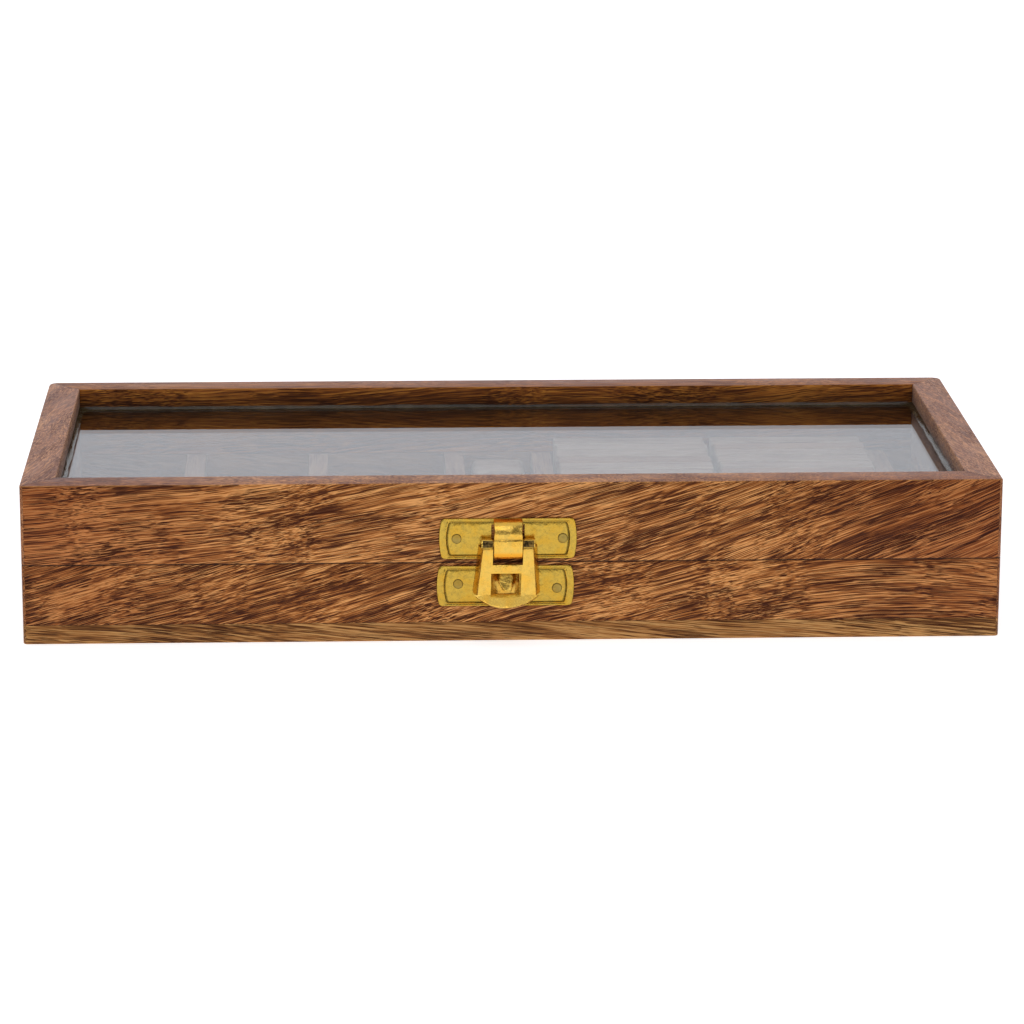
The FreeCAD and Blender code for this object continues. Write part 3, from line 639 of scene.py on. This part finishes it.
def sealant_bead(material):
    """The glue fillet round the glass, broad in the corners and uneven along its run."""
    builder = bmesh.new()
    half = Vector((BEAD_HIGH.x, BEAD_HIGH.y))
    leg = BEAD_HIGH.z - BEAD_LOW.z
    corner = 5.5 * MM
    spacing = 2.0 * MM
    route = []
    for sign_x, sign_y, start in ((1, 1, 0), (-1, 1, 90), (-1, -1, 180), (1, -1, 270)):
        centre = Vector((sign_x * (half.x - corner), sign_y * (half.y - corner)))
        turn_points = [Vector(point) for point in arc(centre, corner, start, start + 90, 8)]
        outer = []
        for number, point in enumerate(turn_points):
            away = (point - centre).normalized()
            stretch = 1 / max(abs(away.x), abs(away.y))
            outer.append(centre + away * corner * stretch)
        route += list(zip(turn_points, outer))
    path = []
    count = len(route)
    for number, (inner, outer) in enumerate(route):
        next_inner, next_outer = route[(number + 1) % count]
        steps = max(1, int((next_inner - inner).length / spacing))
        for step in range(steps):
            share = step / steps
            path.append((inner.lerp(next_inner, share), outer.lerp(next_outer, share)))
    rings = []
    for inner, outer in path:
        at_side = abs(abs(outer.x) - half.x) < 1e-6
        at_end = abs(abs(outer.y) - half.y) < 1e-6
        towards = -Vector(
            (
                math.copysign(1, outer.x) if at_side else 0,
                math.copysign(1, outer.y) if at_end else 0,
            )
        ).normalized()
        rough = noise.noise(Vector((outer.x, outer.y, 0)) / (9 * MM))
        fine = noise.noise(Vector((outer.x, outer.y, 4)) / (3 * MM))
        width = leg * (0.78 + 0.2 * rough + 0.08 * fine)
        rise = leg * (0.6 + 0.15 * rough)
        foot = inner + towards * width
        section = [(outer, 0.0), (outer, rise)]
        steps = 6
        for step in range(1, steps + 1):
            share = step / steps
            fall = (1 - share) ** 1.9
            section.append((outer.lerp(foot, share), rise * fall))
        rings.append(
            [builder.verts.new((point.x, point.y, BEAD_LOW.z + height)) for point, height in section]
        )
    bridge_rings(builder, rings + [rings[0]])
    name = "sealant_bead_shaped"
    return new_piece(name, builder, material, "lid", ("glass_sealant_bead",), sharp=60)


# ---- hasp ----------------------------------------------------------------------------------


def plate_outline(half_x, half_z, bow, inset, corner):
    """The plate's edge inset by a margin that is wider at the ends: straight above and below,
    bowed at both ends and rounded at its four corners."""
    half_x, half_z = half_x - 1.55 * inset, half_z - inset
    radius = (half_z**2 + bow**2) / (2 * bow)
    sweep = math.degrees(math.asin(half_z / radius))
    straight = half_x - bow
    end = arc((half_x - radius, 0), radius, -sweep, sweep, 24)[2:-2]
    tip = Vector((straight, half_z))
    before, after = Vector(end[-1]), tip - Vector((corner, 0))
    bend = []
    for step in range(1, 8):
        share = step / 8
        bend.append(tuple(before.lerp(tip, share).lerp(tip.lerp(after, share), share)))
    top_run = [(after.x * share, half_z) for share in (1, 0.5)]
    quarter = end[len(end) // 2 :] + bend + top_run
    upper = quarter + [(0.0, half_z)] + [(-x, z) for x, z in reversed(quarter)]
    lower = [(-x, -z) for x, z in upper]
    return upper + lower[1:-1]


PLATE_SECTION = {
    # distance in from the edge: how proud of the case, in millimetres
    0.0: 0.0,
    0.02: 0.42,
    0.08: 0.60,
    0.22: 0.70,
    0.40: 0.70,
    0.72: 0.62,
    0.84: 0.74,
    0.94: 0.88,
    1.04: 0.88,
    1.14: 0.72,
    1.24: 0.46,
    1.38: 0.44,
    1.60: 0.50,
    2.60: 0.56,
}
PLATE_GROOVE = (1.18, 1.45)


def hasp_plate(node, material, body, window=None):
    """A pressed plate: rounded edge, flat rim, a fine raised bead and a sunk panel."""
    low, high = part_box(node)
    centre = (low + high) / 2
    half_x, half_z = (high.x - low.x) / 2, (high.z - low.z) / 2
    builder = bmesh.new()
    crease_shade_layer = builder.verts.layers.float.new("painted_crease_shade")
    rings = []
    for inset, proud in PLATE_SECTION.items():
        ring = []
        corner = max(0.4, 1.3 - 0.6 * inset) * MM
        end = half_x - 0.5 * min(inset, 1.0) * MM
        for x, z in plate_outline(end, half_z, 0.8 * MM, inset * MM, corner):
            vertex = builder.verts.new((centre.x + x, FRONT_FACE - proud * MM, centre.z + z))
            # Painted shade in the groove inside the bead, and half as much at the plate's edge
            # against the wood.
            crease_shaded = PLATE_GROOVE[0] < inset < PLATE_GROOVE[1]
            vertex[crease_shade_layer] = 1.0 if crease_shaded else 0.5 if inset < 0.05 else 0.0
            ring.append(vertex)
        rings.append(ring)
    bridge_rings(builder, rings, capped=True)
    piece = new_piece(f"{node}_pressed", builder, material, body, (node,), sharp=45)
    if window:
        carve(piece, window)
    return piece


def strap_loop(front, top, crease, curl_start, gauge):
    """The strap's side view as a closed loop of (y, z): out of the plate, down, curled back."""
    root = FRONT_FACE - 0.35 * MM
    outer = []
    for step in range(19):
        angle = math.radians(5 * step)
        swell = 1 + 0.06 * math.sin(2 * angle)
        outer.append(
            (
                root - (root - front) * min(math.sin(angle) * swell, 1.0),
                crease + (top - crease) * math.cos(angle) ** 0.9,
            )
        )
    outer.append((front + 0.22 * MM, crease - 0.22 * MM))
    outer.append((front + 0.24 * MM, crease - 0.45 * MM))
    outer.append((front + 0.10 * MM, crease - 0.70 * MM))
    outer.append((front + 0.04 * MM, crease - 1.2 * MM))
    outer.append((front + 0.04 * MM, curl_start + 0.5 * MM))
    curl = 2.2 * MM
    for step in range(1, 11):
        angle = math.radians(8.6 * step)
        outer.append(
            (front + 0.04 * MM + curl * (1 - math.cos(angle)), curl_start - curl * math.sin(angle))
        )
    inner = []
    for number, (y, z) in enumerate(outer):
        before = Vector(outer[max(number - 1, 0)])
        after = Vector(outer[min(number + 1, len(outer) - 1)])
        along = (after - before).normalized()
        inner.append((y - along.y * gauge, z + along.x * gauge))
    return outer + inner[::-1]


def strap(material):
    """The strap pressed out of the top plate, looped over the lever's pivot bar."""
    low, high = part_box("hasp_top_plate")
    half_width = 4.4 * MM
    top = high.z - 0.1 * MM
    crease = LEVER_AXIS.z + 2.1 * MM
    curl_start = LEVER_AXIS.z - 2.7 * MM
    loop = strap_loop(low.y, top, crease, curl_start, gauge=0.7 * MM)
    ease = 0.2 * MM
    edges = [(-half_width, ease), (0.3 * ease - half_width, 0.3 * ease), (ease - half_width, 0.0)]
    edges += [(-x, shrink) for x, shrink in reversed(edges)]
    builder = bmesh.new()
    warm_reflection_layer = builder.verts.layers.float.new("warm")
    rings = []
    for x, shrink in edges:
        ring = []
        for number, (y, z) in enumerate(loop):
            mate = Vector(loop[len(loop) - 1 - number])
            y_now, z_now = Vector((y, z)) + (mate - Vector((y, z))).normalized() * shrink
            waist = 1 - 0.06 * math.exp(-(((z - crease - 2.0 * MM) / (1.3 * MM)) ** 2))
            vertex = builder.verts.new((LEVER_AXIS.x + x * waist, y_now, z_now))
            # The strap's top and its curl are marked for a painted warm reflection.
            over, under = z - (top - 0.9 * MM), curl_start + 0.4 * MM - z
            vertex[warm_reflection_layer] = min(max(over, under, 0.0) / (0.4 * MM), 1.0)
            ring.append(vertex)
        rings.append(ring)
    bridge_rings(builder, rings, capped=True)
    return new_piece("hasp_strap", builder, material, "lid", (), sharp=50)


# The lever's sizes are in millimetres and its heights are from the pivot.
LEVER_SHEET = 0.7
LEVER_ROLL = 1.35
LEVER_LENGTH = 15.85
LEVER_TOP_HALF = 7.3
LEVER_FOOT_HALF = 8.75
SHOULDER_OVERHANG = 0.85
LEVER_WINDOW_HALF = 4.6
SIDE_CELLS, WINDOW_CELLS = 5, 10
FIRST_FLANGED_ROW = 18
LEVER_SPLAY = 1.25
LEVER_LEAN = 0.03
WINDOW_SHIFT = -0.35
OPEN, SOLID = True, False


def lever_rows():
    """The lever's front sheet from its rolled top down, as (height, proud, half width, open
    in the middle)."""
    rows = []
    for step in range(16, 0, -1):
        angle = math.radians(12 * step)
        rows.append((LEVER_ROLL * math.sin(angle), LEVER_ROLL * math.cos(angle), OPEN))
    for height, lift, middle in (
        (0.0, 0.0, OPEN),
        (-0.95, 0.0, OPEN),
        (-1.1, 0.22, OPEN),
        (-1.3, 0.26, OPEN),
        (-1.55, 0.06, OPEN),
        (-1.8, 0.0, OPEN),
        (-3.8, 0.0, OPEN),
        (-6.3, 0.0, OPEN),
        (-6.3, 0.0, SOLID),
        (-7.6, 0.0, SOLID),
        (-9.0, 0.0, SOLID),
        (-9.0, 0.0, OPEN),
        (-11.5, 0.0, OPEN),
        (-14.0, 0.0, OPEN),
        (-LEVER_LENGTH, 0.0, OPEN),
    ):
        rows.append((height, LEVER_ROLL + lift, middle))
    widened = []
    for height, proud, middle in rows:
        share = max(-height, 0) / LEVER_LENGTH
        half_width = LEVER_TOP_HALF + (LEVER_FOOT_HALF - LEVER_TOP_HALF) * share
        if height > -1:
            half_width += SHOULDER_OVERHANG
        widened.append((height, proud, half_width, middle))
    return widened


def lever_columns(half_width):
    """Places across the sheet: side cells, then the window's cells, then side cells."""
    outline = half_width - 0.3
    inner_cells = SIDE_CELLS - 1
    side = [
        outline - (outline - LEVER_WINDOW_HALF) * cell / inner_cells for cell in range(inner_cells)
    ]
    side.insert(0, half_width)
    half_cells = WINDOW_CELLS // 2
    middle = [
        LEVER_WINDOW_HALF * cell / half_cells for cell in range(half_cells, -half_cells - 1, -1)
    ]
    return [-x for x in side] + [-x for x in middle] + side[::-1]


def lip_rows(vertex):
    """Rows of the finger lip: an arc below the sheet that also flares out of the face."""
    foot, drop = LEVER_FOOT_HALF + LEVER_SPLAY, 3.3
    radius = (foot**2 + drop**2) / (2 * drop)
    lip_steps = 8
    rows = []
    for step in range(1, lip_steps + 1):
        share = step / lip_steps
        half_width = LEVER_FOOT_HALF + LEVER_SPLAY * min(1.0, 2 * share)
        row = []
        for x in lever_columns(half_width):
            reach = max(math.sqrt(radius**2 - x**2) - (radius - drop), 0.0) * share
            row.append(vertex(x, LEVER_ROLL + 0.88 * reach, -LEVER_LENGTH - reach - 0.1 * share))
        rows.append((row, share < 0.3))
    return rows


def add_flanges(builder, flanged):
    """Fold a flange back from both side edges of the given rows, splayed a little outward."""
    for side, sign in ((0, -1), (-1, 1)):
        previous = [row[side] for row in flanged]
        for share in (0.1, 0.3, 0.6, 1.0):
            ring = []
            for row in flanged:
                x, y, z = row[side].co
                spread = sign * LEVER_SPLAY * share**0.75 * MM
                ring.append(builder.verts.new((x + spread, y + 2.9 * share * MM, z)))
            for number in range(len(ring) - 1):
                quad = (previous[number], previous[number + 1], ring[number + 1], ring[number])
                if quad[0].co != quad[1].co:
                    builder.faces.new(quad)
            previous = ring


def lever_sheet():
    """The lever's middle surface as a bmesh: face, windows, rolled top, flanges and lip."""
    builder = bmesh.new()

    def vertex(x, proud, height):
        shifted = WINDOW_SHIFT if height < -8.9 and abs(x) <= LEVER_WINDOW_HALF else 0.0
        offset = Vector((x + shifted + LEVER_LEAN * height, -proud, height)) * MM
        return builder.verts.new(LEVER_AXIS + offset)

    rows = []
    for height, proud, half_width, middle in lever_rows():
        rows.append(([vertex(x, proud, height) for x in lever_columns(half_width)], middle))
    face_rows = [row for row, _ in rows]
    rows += lip_rows(vertex)
    for (upper, upper_open), (lower, lower_open) in zip(rows, rows[1:]):
        if (upper[0].co - lower[0].co).length < 1e-7:
            continue
        height = (upper[0].co.z + lower[0].co.z) / 2 - LEVER_AXIS.z
        proud = LEVER_AXIS.y - (upper[0].co.y + lower[0].co.y) / 2
        # Faces over the top of the roll take the second material, a patch of painted shade.
        shade_patch = proud > 0 and -0.95 * MM < height < 1.05 * MM
        for cell in range(len(upper) - 1):
            in_window = SIDE_CELLS <= cell < SIDE_CELLS + WINDOW_CELLS
            if in_window and upper_open and lower_open:
                continue
            quad = (upper[cell], upper[cell + 1], lower[cell + 1], lower[cell])
            face = builder.faces.new(quad)
            face.material_index = 1 if shade_patch and 1 <= cell < len(upper) - 2 else 0

    add_flanges(builder, face_rows[FIRST_FLANGED_ROW:])
    bmesh.ops.remove_doubles(builder, verts=builder.verts, dist=1e-6)
    loose = [vert for vert in builder.verts if not vert.link_faces]
    bmesh.ops.delete(builder, geom=loose, context="VERTS")
    return builder


def hasp_lever(material, painted_shade_material):
    """The pressed lever: windowed sheet with flanged sides, a rolled top that turns on the
    bar and a finger lip flared out at its foot. The top of the roll is painted dark as shade."""
    piece = new_piece(
        "hasp_lever_pressed", lever_sheet(), material, "lever", ("hasp_lever",)
    )
    piece.data.materials.append(painted_shade_material)
    thicken = piece.modifiers.new("sheet", "SOLIDIFY")
    thicken.thickness = LEVER_SHEET * MM
    thicken.offset = 0.0
    thicken.use_even_offset = True
    rounded = piece.modifiers.new("rounded", "BEVEL")
    rounded.width = 0.17 * MM
    rounded.segments = 3
    rounded.limit_method = "ANGLE"
    rounded.angle_limit = math.radians(40)
    bpy.context.view_layer.update()
    evaluated = piece.evaluated_get(bpy.context.evaluated_depsgraph_get())
    finished = bpy.data.meshes.new_from_object(evaluated)
    piece.modifiers.clear()
    piece.data = finished
    finished.set_sharp_from_angle(angle=math.radians(38))


def pivot_bar(material):
    """The bar that the strap holds, from one rolled knuckle to the other."""
    builder = drum(LEVER_AXIS, 1.0 * MM, 6.6 * MM)
    soften(builder, 0.12 * MM, 2)
    return new_piece("lever_pivot_bar", builder, material, "lever", (), sharp=40)


def stud(material):
    """The pressed stud on the catch plate: a pyramid with a low, blunted point."""
    low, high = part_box("hasp_catch_plate")
    x, z = LEVER_AXIS.x - 0.8 * MM, (low.z + high.z) / 2 + 1.2 * MM
    back = FRONT_FACE - 0.35 * MM
    shoulder = back - 0.3 * MM
    half_x, half_z = 4.3 * MM, 4.1 * MM
    tip_x, tip_z, drop = 0.3 * MM, 0.15 * MM, 1.9 * MM
    signs = [(-1, -1), (1, -1), (1, 1), (-1, 1)]
    builder = bmesh.new()
    rings = []
    for y, reach_x, reach_z, fall in (
        (back, half_x, half_z, 0.0),
        (shoulder, half_x, half_z, 0.0),
        (low.y, tip_x, tip_z, drop),
    ):
        ring = [
            builder.verts.new((x + sign_x * reach_x, y, z + sign_z * reach_z - fall))
            for sign_x, sign_z in signs
        ]
        rings.append(ring)
    bridge_rings(builder, rings, capped=True)
    soften(builder, 0.16 * MM, 3, least_angle=12.0)
    return new_piece("catch_stud", builder, material, "base", (), sharp=60)


NAIL_RADIUS = 1.6 * MM
NAIL_SECTION = {
    # share of the head's radius: how proud of the panel, in millimetres
    1.0: 0.0,
    0.99: 0.16,
    0.93: 0.27,
    0.82: 0.31,
    0.66: 0.28,
    0.4: 0.33,
    0.0: 0.36,
}


def nail_heads(node, body, material):
    """Low nail heads, each hammered a little uneven and seated at its own tilt."""
    low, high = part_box(node)
    radius = NAIL_RADIUS
    seats = [(low.x + radius, high.z - radius), (high.x - radius, low.z + radius)]
    panel = FRONT_FACE - 0.52 * MM
    builder = bmesh.new()
    crease_shade_layer = builder.verts.layers.float.new("painted_crease_shade")
    for number, (x, z) in enumerate(seats):
        tilt = 0.04 * (1 if number else -1)
        rings = []
        for share, proud in NAIL_SECTION.items():
            ring = []
            for step in range(28):
                angle = FULL_TURN * step / 28
                around = Vector((2 * math.cos(angle), 2 * math.sin(angle), x / MM))
                reach = radius * share * (0.96 + 0.05 * noise.noise(around))
                place = Vector((x + reach * math.cos(angle), panel, z + reach * math.sin(angle)))
                dent = 0.05 * MM * noise.noise(place / (0.9 * MM)) * (1 if share < 0.9 else 0)
                place.y -= proud * MM - tilt * (place.x - x) - dent
                vertex = builder.verts.new(place)
                # Painted shade round each head's rim.
                vertex[crease_shade_layer] = 0.9 if share > 0.9 else 0.0
                ring.append(vertex)
            rings.append(ring)
        bridge_rings(builder, rings)
        builder.faces.new(rings[0])
    bmesh.ops.remove_doubles(builder, verts=builder.verts, dist=1e-6)
    return new_piece(f"{node}_heads", builder, material, body, (node,), sharp=50)


# ---- materials -----------------------------------------------------------------------------

# Each wood palette is its dark, middle and light tone. The tones are matched.
RUDDY = ((0.085, 0.020, 0.004), (0.310, 0.092, 0.022), (0.560, 0.230, 0.076))
GOLDEN = ((0.080, 0.018, 0.002), (0.370, 0.122, 0.025), (0.740, 0.345, 0.112))
# The next palette is darker: painted shade for the lid's back rail, whose inner face stands in
# shade.
SHADED = ((0.090, 0.022, 0.002), (0.290, 0.085, 0.010), (0.520, 0.195, 0.028))
OLIVE = ((0.095, 0.032, 0.006), (0.310, 0.124, 0.031), (0.530, 0.275, 0.092))
# The next palette is paler and pinker: dust, and painted sheen for the tops of the lid's side rails
# seen at a grazing angle.
DUSTY_SHEEN = ((0.110, 0.033, 0.010), (0.340, 0.125, 0.045), (0.620, 0.300, 0.130))
# The next palette is darker and flatter: painted shade for the base's back rail, seen in shade
# through the glass.
INNER_SHADE = ((0.150, 0.060, 0.022), (0.240, 0.110, 0.045), (0.340, 0.175, 0.080))
TAN = ((0.180, 0.085, 0.040), (0.340, 0.185, 0.095), (0.480, 0.290, 0.165))
CREAM = ((0.220, 0.130, 0.075), (0.420, 0.310, 0.225), (0.560, 0.460, 0.360))

# The fibre's slope along the two front rails: see wood().
LID_FRONT_RISE = (0.26, 0.0013, 0.0)
BASE_FRONT_RISE = (0.27, -0.0009, -0.00001)

materials = {
    "lid_front": wood(
        "wood_lid_front", GOLDEN, rise=LID_FRONT_RISE, shift=(40, 12, 5), pores=0.66, ends=0.9
    ),
    "base_front": wood(
        "wood_base_front", GOLDEN, rise=BASE_FRONT_RISE, shift=(140, 32, 51), pores=0.68, ends=0.6
    ),
    "lid_back": wood("wood_lid_back", SHADED, rise=(0.05, 0, 0), shift=(310, 48, 21)),
    "base_back": wood("wood_base_back", INNER_SHADE, rise=(-0.12, 0, 0), shift=(310, 48, 21)),
    "lid_left": wood("wood_lid_left", DUSTY_SHEEN, "Y", rise=(0.1, 0, 0), shift=(150, 84, 61), dive=0.2),
    "base_left": wood("wood_base_left", RUDDY, "Y", rise=(0.12, 0, 0), shift=(150, 184, 61)),
    "lid_right": wood(
        "wood_lid_right", DUSTY_SHEEN, "Y", rise=(0.1, 0, 0), shift=(520, 9, 133), dive=-0.25
    ),
    "base_right": wood("wood_base_right", RUDDY, "Y", rise=(-0.1, 0, 0), shift=(520, 109, 133)),
}
board_material = wood("wood_board", OLIVE, rise=(-0.1, 0, 0), shift=(90, 230, 77), sway=0.5)
partition_material = wood("wood_partition", TAN, "Y", shift=(5, 170, 30), pores=0.3)
block_material = wood("wood_block", CREAM, rise=(0.1, 0, 0), shift=(77, 15, 240), pores=0.2)
tile_materials = [
    wood(f"wood_tile_{number}", tones, shift=(60 * number, 33 * number, 12), pores=0.3, sway=0.5)
    for number, tones in enumerate((CREAM, TAN, CREAM, CREAM), start=1)
]
hasp_material = brass("brass_hasp", (0.53, 0.34, 0.054), (0.35, 0.245, 0.052), 0.19, mottle=0.6)
lever_material = brass("brass_lever", (0.72, 0.45, 0.085), (0.52, 0.35, 0.08), 0.16, mottle=0.45)
# A dark, rough brass whose darkness is painted shade, for the top of the lever's roll.
painted_shade_material = brass("brass_painted_shade", (0.20, 0.13, 0.045), (0.16, 0.11, 0.05), 0.36, shade_patch_share=0.95)
nail_material = brass("brass_nail", (0.36, 0.25, 0.060), (0.22, 0.17, 0.055), 0.30)
hinge_material = brass("brass_hinge", (0.60, 0.42, 0.12), (0.42, 0.30, 0.10), 0.24)
glass_material = clear_glass("glass_clear")
sealant_material = set_sealant("sealant_clear")


def paint(node, material):
    """Give a carried-over CAD node its material."""
    mesh = frame["nodes"][node].data
    mesh.materials.clear()
    mesh.materials.append(material)


# ---- assembly ------------------------------------------------------------------------------

rails = wooden_frame(materials)
slots = partition_slots()
carve(rails["lid_back_rail"], hinge_recesses("lid"))
carve(rails["base_back_rail"], hinge_recesses("base"))
carve(rails["base_back_rail"], slots)
carve(rails["base_front_rail"], partition_slots())
bottom_board(board_material)
sealant_bead(sealant_material)

for number in range(1, 6):
    paint(f"partition_{number}", partition_material)
for number in (1, 2):
    paint(f"rounded_block_{number}", block_material)
for column, first in (("one", 0), ("two", 2)):
    for number in range(1, 15):
        paint(f"tile_{column}_{number:02d}", tile_materials[(number * 3 + first) % 4])
paint("glass_pane", glass_material)
for side in ("left", "right"):
    for part in ("lid_leaf", "base_leaf", "pin"):
        paint(f"hinge_{side}_{part}", hinge_material)
for owner in ("lid", "base"):
    paint(f"hinge_{owner}_screws", nail_material)

plate_low, plate_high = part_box("hasp_top_plate")
window_low = (LEVER_AXIS.x - 5.1 * MM, FRONT_FACE - 3 * MM, LEVER_AXIS.z - 3.7 * MM)
window_high = (LEVER_AXIS.x + 5.1 * MM, FRONT_FACE + 1 * MM, plate_high.z - 1.9 * MM)
hasp_plate("hasp_top_plate", hasp_material, "lid", [block(window_low, window_high)])
strap(lever_material)
hasp_plate("hasp_catch_plate", hasp_material, "base")
stud(lever_material)
hasp_lever(lever_material, painted_shade_material)
pivot_bar(lever_material)
nail_heads("hasp_top_nails", "lid", nail_material)
nail_heads("hasp_catch_nails", "base", nail_material)

# ---- studio --------------------------------------------------------------------------------


def floor():
    half = 6.0
    builder = bmesh.new()
    corners = [(-half, -half), (half, -half), (half, half), (-half, half)]
    builder.faces.new([builder.verts.new((x, y, 0)) for x, y in corners])
    mesh = bpy.data.meshes.new("studio_floor")
    builder.to_mesh(mesh)
    builder.free()
    mesh.materials.append(studio_floor("floor_pale"))
    ground = bpy.data.objects.new("studio_floor", mesh)
    bpy.context.scene.collection.objects.link(ground)


def soft_light(name, place, target, size, power, tint=(1, 1, 1)):
    """A square soft box at place, facing target."""
    data = bpy.data.lights.new(name, "AREA")
    data.shape = "SQUARE"
    data.size = size
    data.energy = power
    data.color = tint
    lamp = bpy.data.objects.new(name, data)
    bpy.context.scene.collection.objects.link(lamp)
    lamp.location = place
    lamp.rotation_euler = (Vector(target) - Vector(place)).to_track_quat("-Z", "Y").to_euler()


def white_room():
    """A pale light tent: bright behind the case and overhead, dim on the near side."""
    world = bpy.data.worlds.new("room")
    bpy.context.scene.world = world
    world.use_nodes = True
    nodes, links = world.node_tree.nodes, world.node_tree.links

    def graded(value, low, high, at_low, at_high):
        made = nodes.new("ShaderNodeMapRange")
        made.interpolation_type = "SMOOTHSTEP"
        links.new(value, made.inputs["Value"])
        ends = {"From Min": low, "From Max": high, "To Min": at_low, "To Max": at_high}
        for name, number in ends.items():
            made.inputs[name].default_value = number
        return made.outputs["Result"]

    parts = nodes.new("ShaderNodeSeparateXYZ")
    links.new(nodes.new("ShaderNodeTexCoord").outputs["Generated"], parts.inputs[0])
    level = nodes.new("ShaderNodeMath")
    level.operation = "MAXIMUM"
    links.new(graded(parts.outputs["Y"], -0.5, 0.5, 0.22, 0.90), level.inputs[0])
    links.new(graded(parts.outputs["Z"], 0.6, 0.95, 0.0, 0.95), level.inputs[1])
    seen = nodes.new("ShaderNodeMix")
    links.new(nodes.new("ShaderNodeLightPath").outputs["Is Camera Ray"], seen.inputs["Factor"])
    links.new(level.outputs[0], seen.inputs["A"])
    seen.inputs["B"].default_value = 1.0
    links.new(seen.outputs["Result"], nodes["Background"].inputs["Strength"])
    nodes["Background"].inputs["Color"].default_value = (0.92, 0.94, 1.0, 1)


def aim_camera(turn, tilt, roll, distance, target, lens):
    """A camera that looks at target from the given distance. Angles are in degrees."""
    turn, tilt, roll = (math.radians(angle) for angle in (turn, tilt, roll))
    forward = Vector(
        (math.sin(turn) * math.cos(tilt), math.cos(turn) * math.cos(tilt), -math.sin(tilt))
    )
    level_right = Vector((math.cos(turn), -math.sin(turn), 0))
    level_up = level_right.cross(forward)
    right = level_right * math.cos(roll) + level_up * math.sin(roll)
    up = level_up * math.cos(roll) - level_right * math.sin(roll)
    data = bpy.data.cameras.new("camera")
    data.lens = lens
    data.sensor_width = 36.0
    data.clip_start = 0.05
    data.clip_end = 50.0
    camera = bpy.data.objects.new("camera", data)
    bpy.context.scene.collection.objects.link(camera)
    axes = Matrix((right, up, -forward)).transposed().to_4x4()
    camera.matrix_world = Matrix.Translation(Vector(target) - forward * distance) @ axes
    bpy.context.scene.camera = camera


floor()
white_room()
middle = Vector((0, 0, CASE_TOP / 2))
soft_light("key", (-0.35, -1.25, 0.95), middle, 1.1, 5.5)
soft_light("fill", (1.1, -1.1, 0.7), middle, 0.6, 3)
aim_camera(2.391, 14.745, 0.174, 1.3284, (2.45 * MM, 0, 22.35 * MM), 144.83)
bpy.context.scene.view_settings.view_transform = "Standard"
